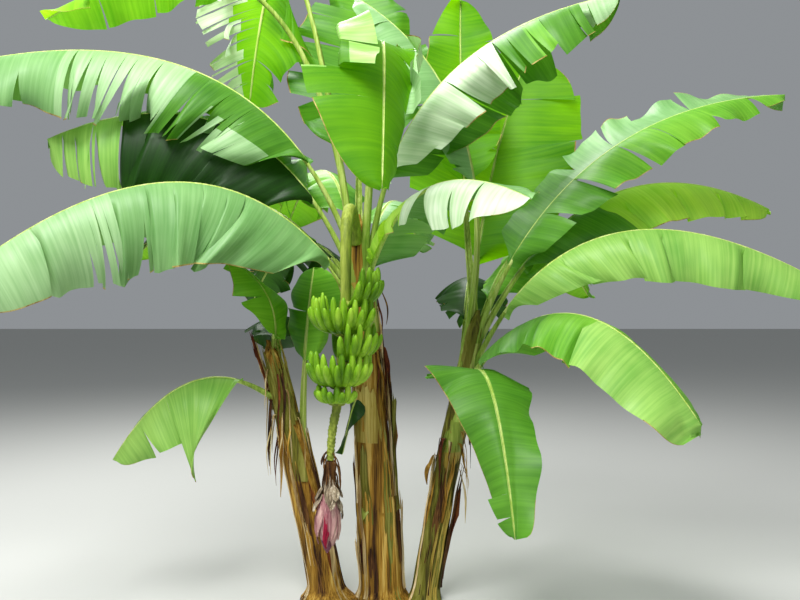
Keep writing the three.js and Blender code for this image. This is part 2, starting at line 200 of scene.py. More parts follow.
def make_piece(name, patches, finishes, nodes, weld=0.0):
    """One mesh object of patches, in metres at the origin, that stands for the given nodes."""
    starts = np.cumsum([0] + [len(patch[0]) for patch in patches[:-1]])
    points = np.concatenate([patch[0] for patch in patches])
    quads = np.concatenate([patch[1] + start for patch, start in zip(patches, starts)])
    places = np.concatenate([patch[2] for patch in patches])
    which = np.concatenate([patch[3] for patch in patches])
    mesh = bpy.data.meshes.new(name)
    mesh.vertices.add(len(points))
    mesh.vertices.foreach_set("co", points.astype(np.float32).ravel())
    mesh.loops.add(quads.size)
    mesh.loops.foreach_set("vertex_index", quads.astype(np.int32).ravel())
    mesh.polygons.add(len(quads))
    mesh.polygons.foreach_set("loop_start", np.arange(0, quads.size, 4, dtype=np.int32))
    mesh.polygons.foreach_set("material_index", which.astype(np.int32))
    mesh.polygons.foreach_set("use_smooth", np.ones(len(quads), dtype=bool))
    layer = mesh.uv_layers.new(name="grain")
    layer.data.foreach_set("uv", places[quads.ravel()].astype(np.float32).ravel())
    mesh.update(calc_edges=True)
    for finish in finishes:
        mesh.materials.append(finish)
    if weld:
        shape = bmesh.new()
        shape.from_mesh(mesh)
        bmesh.ops.remove_doubles(shape, verts=shape.verts, dist=weld)
        bmesh.ops.recalc_face_normals(shape, faces=shape.faces)
        shape.to_mesh(mesh)
        shape.free()
    mesh.validate()
    piece = bpy.data.objects.new(name, mesh)
    bpy.context.scene.collection.objects.link(piece)
    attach(piece, "root")
    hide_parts(*nodes)
    print(name, "faces", len(mesh.polygons))
    return piece


# %% [markdown]
# ## Materials
# Each finish starts from what the real surface is and how it catches light. A small function
# adds one node with its settings and its links, so that a finish reads as a short recipe.
# Colours are written as they look on a screen, and one function turns them into the
# linear values that light is worked out in.

# %% Colour and nodes
def linear(colour):
    """An sRGB hex colour as linear red, green, blue and an alpha of 1."""
    parts = np.array([int(colour[i:i + 2], 16) for i in (0, 2, 4)]) / 255.0
    low = parts / 12.92
    high = ((parts + 0.055) / 1.055) ** 2.4
    return (*np.where(parts <= 0.04045, low, high).tolist(), 1.0)


def set_stops(stops, colours):
    """The stops of a colour ramp, from pairs of place and hex colour."""
    while len(stops) < len(colours):
        stops.new(0.5)
    for stop, (place, colour) in zip(stops, colours):
        stop.position = place
        stop.color = linear(colour)


def add(tree, kind, settings=None, numbered=None, **links):
    """One node of a kind, with its values set, and its sockets fed by number or by name."""
    made = tree.nodes.new("ShaderNode" + kind)
    for key, value in (settings or {}).items():
        if key == "stops":
            set_stops(made.color_ramp.elements, value)
        elif isinstance(key, int) or key in made.inputs:
            made.inputs[key].default_value = value
        else:
            setattr(made, key, value)
    for number, socket in (numbered or {}).items():
        tree.links.new(socket, made.inputs[number])
    for key, socket in links.items():
        tree.links.new(socket, made.inputs[key.replace("_", " ")])
    return made


def new_finish(name):
    """An empty material and its node tree."""
    finish = bpy.data.materials.new(name)
    finish.use_nodes = True
    finish.node_tree.nodes.clear()
    return finish, finish.node_tree


# %% [markdown]
# ## Waxy leaf blade
# A banana leaf is thin living tissue under a coat of wax. Its side veins lie close together and
# run straight from the rib to the margin, so it looks finely pleated. The wax gives a
# broad sheen, and the tissue lets yellow-green light through. The finish is a glossy skin mixed
# with a see-through-glow shader, with stripes laid along the veins by the blade's own map.

# %% The blade finish
VEIN_GROUP = 0.015  # real veins are 6 mm apart, but only groups of them show at this distance
ALONG_VEINS = 1.6  # patches in a metre of vein
BROAD_PATCHES = 3.5  # in a metre
BLADE_STOPS = (0.28, 0.72)
PLANT_IOR = 1.45  # of wax and of dried cell walls alike


def blade_finish(name, dark, light, glow_dark, glow_light, rough, thin, wax=0.12):
    """Stripes from noise that is stretched along the veins, over broad paler patches."""
    finish, tree = new_finish(name)
    place = add(tree, "UVMap", {"uv_map": "grain"})
    laid = add(tree, "Mapping", {"Scale": (1 / VEIN_GROUP, ALONG_VEINS, 1.0)},
               Vector=place.outputs["UV"])
    stripes = add(tree, "TexNoise", {"Scale": 1.0, "Detail": 3.0, "Roughness": 0.62},
                  Vector=laid.outputs["Vector"])
    body = add(tree, "TexCoord")
    patches = add(tree, "TexNoise", {"Scale": BROAD_PATCHES, "Detail": 2.0},
                  Vector=body.outputs["Object"])
    both = add(tree, "Math", {"operation": "ADD"},
               {0: stripes.outputs["Fac"], 1: patches.outputs["Fac"]})
    share = add(tree, "Math", {"operation": "MULTIPLY", 1: 0.5}, {0: both.outputs["Value"]})
    skin = add(tree, "ValToRGB", {"stops": list(zip(BLADE_STOPS, (dark, light)))},
               Fac=share.outputs["Value"])
    glow = add(tree, "ValToRGB", {"stops": list(zip(BLADE_STOPS, (glow_dark, glow_light)))},
               Fac=share.outputs["Value"])
    relief = add(tree, "Bump", {"Strength": 0.12, "Distance": 0.002},
                 Height=stripes.outputs["Fac"])
    waxy = add(tree, "BsdfPrincipled",
               {"Roughness": rough, "IOR": PLANT_IOR, "Specular IOR Level": 0.3,
                "Coat Weight": wax, "Coat Roughness": 0.3},
               Base_Color=skin.outputs["Color"], Normal=relief.outputs["Normal"])
    through = add(tree, "BsdfTranslucent", Color=glow.outputs["Color"],
                  Normal=relief.outputs["Normal"])
    blade = add(tree, "MixShader", {"Fac": thin},
                {1: waxy.outputs["BSDF"], 2: through.outputs["BSDF"]})
    add(tree, "OutputMaterial", Surface=blade.outputs["Shader"])
    return finish


BLADE_COLOURS = {
    # the skin from dark to light, the light that shines through, roughness, thinness and wax
    # A near-white copy of the green that paints the glare of sun and sky off the wax
    "bleached": ("bleached", "92be7c", "e8f2d8", "7cb040", "c0e070", 0.46, 0.12),
    # A pale waxy bloom, made lighter still by painted glare of the sky
    "bloom_and_glare": ("silvery bloom", "6ca058", "b6d8a2", "6aa830", "b0dc50", 0.48, 0.12),
    # A bluish waxy bloom with a painted sheen of the sky on upper faces
    "pale": ("bluish bloom", "5c924a", "92be7c", "4f9a10", "98d030", 0.48, 0.14),
    # sunny, bright and lime are lighter copies of the green that paint sunlight on halves in the
    # sun
    "sunny": ("light green", "62a438", "b4de74", "62b010", "a8e030", 0.5, 0.2),
    "fresh": ("fresh green", "428e14", "8ccc40", "5cae08", "98d41c", 0.5, 0.28),
    "bright": ("yellow green", "58a810", "aae034", "7ccc04", "b8f010", 0.5, 0.4),
    "lime": ("sunlit yellow green", "7cc424", "cdf062", "8cd80c", "c8f830", 0.5, 0.4),
    "vivid": ("young and thin", "3a7e04", "70b00c", "50a000", "8ed200", 0.6, 0.46, 0.04),
    # mid is a plain middle green, and where a leaf's shades use it, it paints the shade near the
    # stem and in hollows
    "mid": ("middle green", "2c6a10", "6aa834", "3f8a04", "78bc10", 0.5, 0.24),
    # deep is painted shade: a dark copy of the green for leaves and halves that stand in the
    # crown's shade
    "deep": ("old and dark", "0e2807", "244e14", "245c04", "4a8c08", 0.5, 0.2, 0.04),
}
BLADES = {key: blade_finish("waxy blade, " + name, *values)
          for key, (name, *values) in BLADE_COLOURS.items()}
print("blade finishes:", ", ".join(BLADES))

# %% [markdown]
# ## Stalks, dry sheaths and torn edges
# Stalks and ribs are firm, pale yellow-green and smooth, with faint lengthwise lines. The old
# leaf bases round a stem have dried to straw, ochre and brown, in long streaks that follow
# the fibres. One recipe serves both: noise that is stretched along the fibres feeds
# a row of colours and a relief, and only the colours, the width and the sheen change.

# %% The fibre finish
BROADER, LONGER = 5.0, 2.5  # how much wider and longer the broad bands are than the fibres


def fibre_finish(name, colours, width, length, rough, depth, thin=0.0):
    """Streaks from noise whose cells are as wide and as long as the given fibres, in metres."""
    finish, tree = new_finish(name)
    body = add(tree, "TexCoord")
    laid = add(tree, "Mapping", {"Scale": (1 / width, 1 / width, 1 / length)},
               Vector=body.outputs["Object"])
    streaks = add(tree, "TexNoise", {"Scale": 1.0, "Detail": 4.0, "Roughness": 0.6},
                  Vector=laid.outputs["Vector"])
    broad = (1 / width / BROADER, 1 / width / BROADER, 1 / length / LONGER)
    wide = add(tree, "Mapping", {"Scale": broad}, Vector=body.outputs["Object"])
    bands = add(tree, "TexNoise", {"Scale": 1.0, "Detail": 1.0}, Vector=wide.outputs["Vector"])
    both = add(tree, "Math", {"operation": "ADD"},
               {0: streaks.outputs["Fac"], 1: bands.outputs["Fac"]})
    share = add(tree, "Math", {"operation": "MULTIPLY_ADD", 1: 0.75, 2: -0.25},
                {0: both.outputs["Value"]})
    skin = add(tree, "ValToRGB", {"stops": colours}, Fac=share.outputs["Value"])
    relief = add(tree, "Bump", {"Strength": 0.6, "Distance": depth}, Height=streaks.outputs["Fac"])
    dry = add(tree, "BsdfPrincipled",
              {"Roughness": rough, "IOR": PLANT_IOR, "Specular IOR Level": 0.25},
              Base_Color=skin.outputs["Color"], Normal=relief.outputs["Normal"])
    surface = dry.outputs["BSDF"]
    if thin:
        through = add(tree, "BsdfTranslucent", Color=skin.outputs["Color"],
                      Normal=relief.outputs["Normal"])
        lit = add(tree, "MixShader", {"Fac": thin}, {1: surface, 2: through.outputs["BSDF"]})
        surface = lit.outputs["Shader"]
    add(tree, "OutputMaterial", Surface=surface)
    return finish


# %% [markdown]
# ## Colours of the firm and the dry parts
# Each finish has a row of colours from its darkest to its lightest fibre. Then follow the
# fibre's width and length in metres, the roughness, the depth of the relief and, for a thin dry
# rim, how much light it lets through. Real fibres are finer than 6 mm, but such fine ones
# don't show from this distance, so none is drawn finer.

# %% Stalk, edge and bark finishes
RIB = fibre_finish("leaf rib, pale and firm", [(0.35, "a9c452"), (0.65, "d3e08a")],
                   0.006, 0.3, 0.42, 0.001)
STALK = fibre_finish("leaf stalk, gutter shaped",
                     [(0.3, "6f8f2e"), (0.5, "93ad45"), (0.7, "b9c872")], 0.009, 0.25, 0.45, 0.0015)
SHEATH = fibre_finish("leaf base, fresh and clasping",
                      [(0.3, "667c28"), (0.5, "90a042"), (0.7, "bcc46c")], 0.012, 0.35, 0.5, 0.002)
EDGE = fibre_finish("torn edge, dried brown", [(0.35, "8a6a2c"), (0.65, "c7b169")],
                    0.01, 0.05, 0.7, 0.001, 0.2)
BARK_COLOURS = {
    "ochre": ("dry sheath, ochre",
              [(0.3, "3a2208"), (0.43, "7c5818"), (0.55, "a67e2c"), (0.72, "cfae5c")],
              0.011, 0.42, 0.72, 0.004),
    "cream": ("dry sheath, bleached edge", [(0.3, "d0a85e"), (0.5, "eed8a2"), (0.7, "fff2d2")],
              0.008, 0.4, 0.6, 0.002, 0.1),
    "tan": ("dry sheath, greenish straw", [(0.3, "7c6820"), (0.5, "a8923e"), (0.7, "cdba6a")],
            0.012, 0.4, 0.6, 0.003),
    "straw": ("dry sheath, straw edge", [(0.3, "84663a"), (0.5, "c4ac76"), (0.7, "e6d8ae")],
              0.008, 0.3, 0.65, 0.003, 0.12),
    "brown": ("dry sheath, weathered brown", [(0.32, "1a0e06"), (0.5, "472a12"), (0.7, "80592c")],
              0.008, 0.25, 0.8, 0.004),
    "olive": ("sheath, still half green", [(0.3, "3e370c"), (0.5, "6c6a20"), (0.7, "949046")],
              0.014, 0.5, 0.55, 0.003),
    "russet": ("dry sheath, reddish", [(0.3, "280c06"), (0.5, "602a12"), (0.7, "985a28")],
               0.008, 0.3, 0.75, 0.004),
}
BARK = {key: fibre_finish(*values) for key, values in BARK_COLOURS.items()}
print("dry sheath finishes:", ", ".join(BARK))

# %% [markdown]
# ## The stems' own shape
# A false stem tapers, leans and bows, and flares a little at the ground. The same rule that
# shaped the frame gives the axis and the radius at any height, so the new skin lies where
# the coarse one was. Sizes stay in millimetres here, as on a drawing, and the arrays
# are turned into metres when they are made.

# %% Axis and radius of a stem
GAP = 0.3  # between two stems at the ground
MAIN_FLARE = 34
STEMS = {
    "centre": {"base": (0, 0), "top": (-129, 0), "height": 2060, "radius": (106, 54)},
    "left": {"base": (-290, 0), "top": (-612, 0), "height": 1385, "radius": (88, 42)},
    "right": {"base": (231, 0), "top": (516, 0), "height": 1546, "radius": (62, 42)},
}
STEM_BOW = 1.12
SHEATH_STEP = 6
FLARE_HEIGHT = 90
STEM_LOBES = 0.06
LOBES_FULL_AT = 600
LOBE_TURN_HEIGHT = 260


def stem_axis(name, height):
    """Points of a stem's axis: straight from base to top, but bowed by a power of the height."""
    stem = STEMS[name]
    height = np.asarray(height, dtype=float)
    share = (np.maximum(height, 0) / stem["height"]) ** STEM_BOW
    return np.stack([mix(stem["base"][0], stem["top"][0], share),
                     mix(stem["base"][1], stem["top"][1], share), height], axis=-1)


def stem_radius(name, height):
    """The radius falls evenly with the height, and flares as a square below the flare height.
    The flare of a side stem fills the room that the main stem's leaves between the two."""
    stem = STEMS[name]
    flare = MAIN_FLARE
    if name != "centre":
        room_left = np.hypot(*stem["base"]) - STEMS["centre"]["radius"][0] - MAIN_FLARE - GAP
        flare = room_left - stem["radius"][0] - SHEATH_STEP * 2
    share = np.asarray(height, dtype=float) / stem["height"]
    opened = np.maximum(0, 1 - np.asarray(height) / FLARE_HEIGHT) ** 2
    return mix(*stem["radius"], share) + flare * opened


def stem_skin(name, height, angle, out):
    """Points on a stem's skin, which has three soft lobes, a given distance outside it."""
    lobes = STEM_LOBES * np.minimum(1, height / LOBES_FULL_AT)
    lobe = 1 + lobes * np.cos(3 * angle + height / LOBE_TURN_HEIGHT)
    radius = stem_radius(name, height) * lobe + out
    centre = stem_axis(name, height)
    centre[..., 0] += radius * np.cos(angle)
    centre[..., 1] += radius * np.sin(angle)
    return centre


print("main stem radius at 1 m:", round(float(stem_radius("centre", 1000)), 1), "mm")

# %% [markdown]
# ## The stems' skin
# Round a false stem several leaf bases overlap, each ending in a long edge that runs up the
# stem, and each old one has torn off at a ragged height. Round the stem the skin is a
# saw-tooth that steps down at every edge, and up the stem it steps in where a base has torn
# off. Three waves of different widths lay fibres and folds over it. A sculpted or scanned
# bark would also do, but the rule is short and it can be changed.

# %% Relief of the stems
STEM_COLUMNS, STEM_ROWS = 168, 260
EDGES_ROUND = 5
EDGE_HEIGHT, EDGE_SHARP = 5.5, 0.05  # the rise takes that share of the way to the next edge
TORN_OFF = 5
TORN_FROM, TORN_REACH = 0.12, 0.78  # shares of the stem's height
TORN_LEDGE = 9  # millimetres up the stem over which the skin steps in
TORN_PART = 2.2  # so many of these steps are as deep as one sheath's
RAGGED_ENDS = [(46, 3, 2.1), (18, 17, 1), (9, 41, 3)]  # depth, waves round the stem, turn
FIBRES = [
    # depth, waves round the stem, sway, height of a sway, and its turn from stem to stem
    (0.9, 47, 2.5, 170, 1),
    (0.6, 83, 2.0, 90, 0),
    (2.2, 9, 1.8, 240, 2),
]
SUNK = 4  # millimetres that the skin lies inside the plain solid before relief is added
CROWN_FROM, CROWN_DRAWN_IN = 0.93, 0.75  # from which share of the height, and by how much


def edges_round(height, angle, item):
    """A saw-tooth round the stem: at each edge it rises at once, and then it falls to nothing
    until the next one. The edges wander with a slow sine wave of the height."""
    wander = 0.35 * np.sin(height / 310 + item) + height / 2600
    turn = (angle - wander) * EDGES_ROUND / (2 * np.pi)
    phase = turn - np.floor(turn)
    return EDGE_HEIGHT * (1 - phase) ** 1.4 * smooth(phase / EDGE_SHARP)


def torn_bases(full, height, angle):
    """A step in where each old base has torn off, along a sum of three sine waves."""
    torn = np.zeros_like(angle * height)
    for old in range(1, TORN_OFF + 1):
        end = full * (TORN_FROM + TORN_REACH * old / (TORN_OFF + 1))
        ragged = sum(depth * np.sin(angle * waves + old * turn)
                     for depth, waves, turn in RAGGED_ENDS)
        torn = torn + SHEATH_STEP * (1 - smooth((height - end - ragged) / TORN_LEDGE)) / TORN_PART
    return torn


def fibres_and_folds(height, angle, item):
    """Sine waves round the stem, whose lines sway with other sine waves of the height."""
    return sum(depth * np.sin(angle * waves + sway * np.sin(height / length + item * turn))
               for depth, waves, sway, length, turn in FIBRES)


def stem_patch(name, item):
    """The skin of one stem as a round grid, drawn in at the crown and closed at both ends."""
    full = STEMS[name]["height"]
    height = np.linspace(0, full, STEM_ROWS)[:, None]
    angle = round_angles(STEM_COLUMNS)[None, :]
    out = edges_round(height, angle, item) + torn_bases(full, height, angle)
    out = out + fibres_and_folds(height, angle, item) - SUNK
    points = stem_skin(name, height + 0 * angle, angle + 0 * height, out)
    drawn_in = CROWN_DRAWN_IN * smooth((height / full - CROWN_FROM) / (1 - CROWN_FROM))[..., None]
    points = mix(points, stem_axis(name, height[:, 0])[:, None], drawn_in)
    return patch_of(closed(points, stem_axis(name, 0), stem_axis(name, full)) * MM, round_it=True)


print("points on a stem:", STEM_COLUMNS * STEM_ROWS)

# %% [markdown]
# ## Loose strips on the stems
# Dry leaf bases peel. Their edges lift, their upper ends fray into points, and they carry most
# of the colour: straw edges, ochre, half green, reddish and dark brown. Each strip is a
# curved band that hugs the stem at its foot and stands off towards its top and its sides.
# The strips that the photograph shows have their own places, and the rest are spread.

# %% Strips with their places
STRIPS = [
    # stem, heading, width in degrees, foot, top, lift, fray, finish
    ("centre", 262, 96, 905, 1500, 4, 60, "ochre"),
    ("centre", 196, 16, 930, 1230, 9, 40, "straw"),
    ("centre", 306, 26, 0, 1010, 6, 260, "olive"),
    ("centre", 300, 34, 480, 930, 9, 90, "ochre"),
    ("centre", 250, 104, 846, 1160, 9, 50, "tan"),
    ("centre", 240, 30, 420, 850, 8, 60, "olive"),
    ("centre", 212, 13, 520, 900, 14, 70, "cream"),
    ("centre", 318, 14, 560, 1030, 13, 90, "brown"),
    ("centre", 341, 30, 480, 1120, 42, 120, "olive"),
    ("centre", 204, 18, 20, 340, 18, 60, "cream"),
    ("centre", 218, 16, 150, 360, 12, 60, "russet"),
    ("centre", 205, 22, 20, 480, 16, 120, "straw"),
    ("centre", 250, 26, 10, 330, 14, 90, "brown"),
    ("centre", 228, 12, 30, 700, 18, 150, "straw"),
    ("centre", 345, 34, 200, 1280, 26, 320, "brown"),
    ("centre", 0, 22, 420, 1120, 34, 260, "russet"),
    ("centre", 332, 9, 560, 1250, 30, 200, "straw"),
    ("centre", 352, 12, 60, 620, 30, 160, "straw"),
    ("centre", 285, 20, 0, 420, 10, 70, "ochre"),
    ("left", 204, 18, 0, 940, 10, 60, "cream"),
    ("left", 228, 52, 20, 980, 7, 120, "ochre"),
    ("left", 262, 26, 60, 760, 10, 200, "brown"),
    ("left", 290, 34, 10, 560, 14, 160, "ochre"),
    ("left", 318, 18, 20, 420, 20, 120, "straw"),
    ("left", 300, 20, 120, 690, 12, 160, "russet"),
    ("left", 246, 14, 200, 860, 16, 180, "straw"),
    ("left", 340, 40, 60, 820, 12, 160, "brown"),
    ("left", 270, 60, 640, 1060, 5, 90, "olive"),
    ("left", 170, 60, 1010, 1400, 22, 190, "straw"),
    ("left", 236, 60, 900, 1400, 12, 200, "olive"),
    ("left", 285, 50, 940, 1400, 14, 220, "olive"),
    ("left", 200, 26, 1060, 1470, 34, 180, "russet"),
    ("left", 335, 60, 960, 1430, 12, 200, "olive"),
    ("left", 20, 80, 1000, 1420, 12, 200, "ochre"),
    ("left", 100, 80, 1000, 1410, 12, 200, "brown"),
    ("right", 204, 16, 0, 640, 10, 90, "cream"),
    ("right", 236, 24, 10, 860, 8, 120, "olive"),
    ("right", 212, 26, 120, 700, 6, 120, "ochre"),
    ("right", 276, 12, 0, 460, 10, 120, "tan"),
    ("right", 262, 40, 40, 740, 8, 160, "brown"),
    ("right", 300, 30, 10, 640, 14, 200, "tan"),
    ("right", 335, 34, 60, 760, 24, 240, "brown"),
    ("right", 10, 26, 100, 660, 34, 220, "russet"),
    ("right", 205, 14, 560, 800, 30, 130, "straw"),
    ("right", 282, 16, 420, 830, 22, 160, "ochre"),
]
FINISH_ORDER = list(BARK)
print("strips with their places:", len(STRIPS))

# %% [markdown]
# ## The shape of a strip
# Every strip lies on the stem's own skin, so it follows the lean, the lobes and the flare by
# itself. Only its distance from the skin, its upper end and a slow sideways wave are its own.
# The strips on the far side are dealt out by the steady scatter.

# %% Strips on the skin
SPREAD = {"count": 9, "headings": (8, 172), "beside": (-8, 8), "widths": (18, 50),
          "feet": (10, 500), "lengths": (350, 800), "lifts": (6, 24), "fray": 140, "highest": 0.72}
SPREAD_FINISHES = FINISH_ORDER[:5]
STRIP_ROWS = 44
STAND_OFF = 8.5  # millimetres outside the stem's skin, just clear of its relief


def strip_patch(strip, item):
    """A band on the stem's skin. It stands off by its lift towards its top, its sides curl off
    a little, and its upper end is cut into teeth by two sine waves across it."""
    name, heading, width, foot, top, lift, fray, finish = strip
    across = np.linspace(-1, 1, int(10 + width / 3))[None, :]
    up = np.linspace(0, 1, STRIP_ROWS)[:, None]
    teeth = fray * (0.5 + 0.3 * np.sin(across * 5.1 + item) + 0.2 * np.sin(across * 13 + item * 3))
    height = mix(foot, top, up) - teeth * up ** 2
    wave = 0.06 * np.sin(height / 130 + item) + 0.03 * np.sin(height / 47 + item * 2)
    narrow = 1 - 0.35 * up ** 2
    angle = np.radians(heading + across * width / 2 * narrow) + wave
    out = STAND_OFF + lift * (0.15 + 0.85 * up ** 1.6) + 0.35 * lift * across ** 2
    out = out + 1.6 * np.sin(across * 9 + np.sin(height / 120 + item)) + 1.2 * np.sin(height / 33)
    points = stem_skin(name, height, angle, out)
    points[..., 2] = np.maximum(points[..., 2], 0)
    return patch_of(points * MM, finish=1 + FINISH_ORDER.index(finish))


def spread_strips(name):
    """Strips for a stem's far side, spread evenly and scattered in size and colour."""
    strips = []
    for count in range(SPREAD["count"]):
        pick = picks(count + 11 * len(name), 0, 6)
        heading = mix(*SPREAD["headings"], (count + 0.5) / SPREAD["count"])
        heading = heading + mix(*SPREAD["beside"], pick[2])
        foot = mix(*SPREAD["feet"], pick[0])
        top = foot + mix(*SPREAD["lengths"], pick[1])
        top = min(top, STEMS[name]["height"] * SPREAD["highest"])
        width, lift = mix(*SPREAD["widths"], pick[4]), mix(*SPREAD["lifts"], pick[5])
        finish = pick_one(SPREAD_FINISHES, pick[3])
        strips.append((name, heading, width, foot, top, lift, SPREAD["fray"], finish))
    return strips


print("strips:", len(STRIPS), "placed and", SPREAD["count"], "spread on each stem")

# %% [markdown]
# ## Tatters under the crown
# Where old leaves have died, their dry stalks and shreds hang down round the neck of each stem.
# A shred is a narrow ribbon on a falling curve. It leaves the stem, drops, and twists as
# it dries. A simulated cloth strip would fall as well, but a curve with a twist is
# enough for a shred two fingers wide.

# %% Hanging shreds
TATTERS = {
    "left": {"count": 20, "headings": (120, 330), "heights": (930, 1240), "drop": (140, 420)},
    "centre": {"count": 18, "headings": (300, 420), "heights": (1250, 1680), "drop": (200, 520)},
    "right": {"count": 14, "headings": (150, 380), "heights": (660, 1080), "drop": (120, 330)},
}
TATTER_WIDTHS, TATTER_REACHES = (10, 34), (14, 70)
TATTER_FINISHES = ["straw", "brown", "ochre", "russet"]
TATTER_TURNS = (-2.4, 2.4)
TATTER_ROWS, TATTER_COLUMNS = 26, 6


def tatter_line(name, item, rule, pick, along):
    """The middle of a ribbon: out on part of a sine arch, up a little, then down by a power of
    the way along it."""
    start = mix(*rule["heights"], pick[1])
    drop = mix(*rule["drop"], pick[2])
    reach = mix(*TATTER_REACHES, pick[4])
    out = float(stem_radius(name, start)) + 4 + reach * np.sin(np.pi * 0.62 * along)
    fall = start + 26 * np.sin(np.pi * np.minimum(1, along * 3)) - drop * along ** 1.5
    heading = np.radians(mix(*rule["headings"], pick[0]))
    swing = heading + 0.22 * (pick[5] - 0.5) * along + 0.05 * np.sin(along * 9 + item)
    centre = stem_axis(name, start)
    middle = [centre[0] + out * np.cos(swing), centre[1] + out * np.sin(swing), fall]
    return np.concatenate(middle, axis=1), heading


def tatter_patch(name, item, rule):
    """A ribbon along its middle line. It twists, its section is hollow as a square across it,
    and it is widest in its middle."""
    pick = picks(item, 200, 8)
    along = np.linspace(0, 1, TATTER_ROWS)[:, None]
    middle, heading = tatter_line(name, item, rule, pick, along)
    twist = heading + mix(*TATTER_TURNS, pick[6]) * along
    side = np.concatenate([-np.sin(twist), np.cos(twist), 0.15 * np.sin(along * 7 + item)], axis=1)
    away = np.concatenate([np.cos(twist), np.sin(twist), 0 * twist], axis=1)[:, None]
    width = mix(*TATTER_WIDTHS, pick[3] ** 2)
    half = width / 2 * (0.55 + 0.45 * np.sin(np.pi * (0.1 + 0.8 * along))) * (1 - 0.8 * along ** 4)
    across = np.linspace(-1, 1, TATTER_COLUMNS)[None, :, None]
    hollow = (across ** 2 - 0.4) * half[:, None] * 0.5
    points = middle[:, None] + side[:, None] * across * half[:, None] + away * hollow
    return patch_of(points * MM, finish=1 + FINISH_ORDER.index(pick_one(TATTER_FINISHES, pick[7])))


print("tatters:", sum(rule["count"] for rule in TATTERS.values()))

# %% [markdown]
# ## Putting the stems together
# Each stem is one mesh: its skin, its own strips, the spread ones and its tatters. The skin
# takes the first finish, and the strips and tatters take theirs by name.

# %% Grow every stem
# The right stem's olive core is a half-green sheath colour, and it is also darker than the others'
# ochre to paint the shade that the right stem stands in
STEM_CORE = {"centre": "ochre", "left": "ochre", "right": "olive"}

for count, name in enumerate(STEMS):
    patches = [stem_patch(name, count)]
    strips = [strip for strip in STRIPS if strip[0] == name] + spread_strips(name)
    patches += [strip_patch(strip, item) for item, strip in enumerate(strips)]
    rule = TATTERS[name]
    patches += [tatter_patch(name, item + 40 * count, rule) for item in range(rule["count"])]
    finishes = [BARK[STEM_CORE[name]]] + list(BARK.values())
    make_piece("false_stem_" + name, patches, finishes, ["stem_" + name])
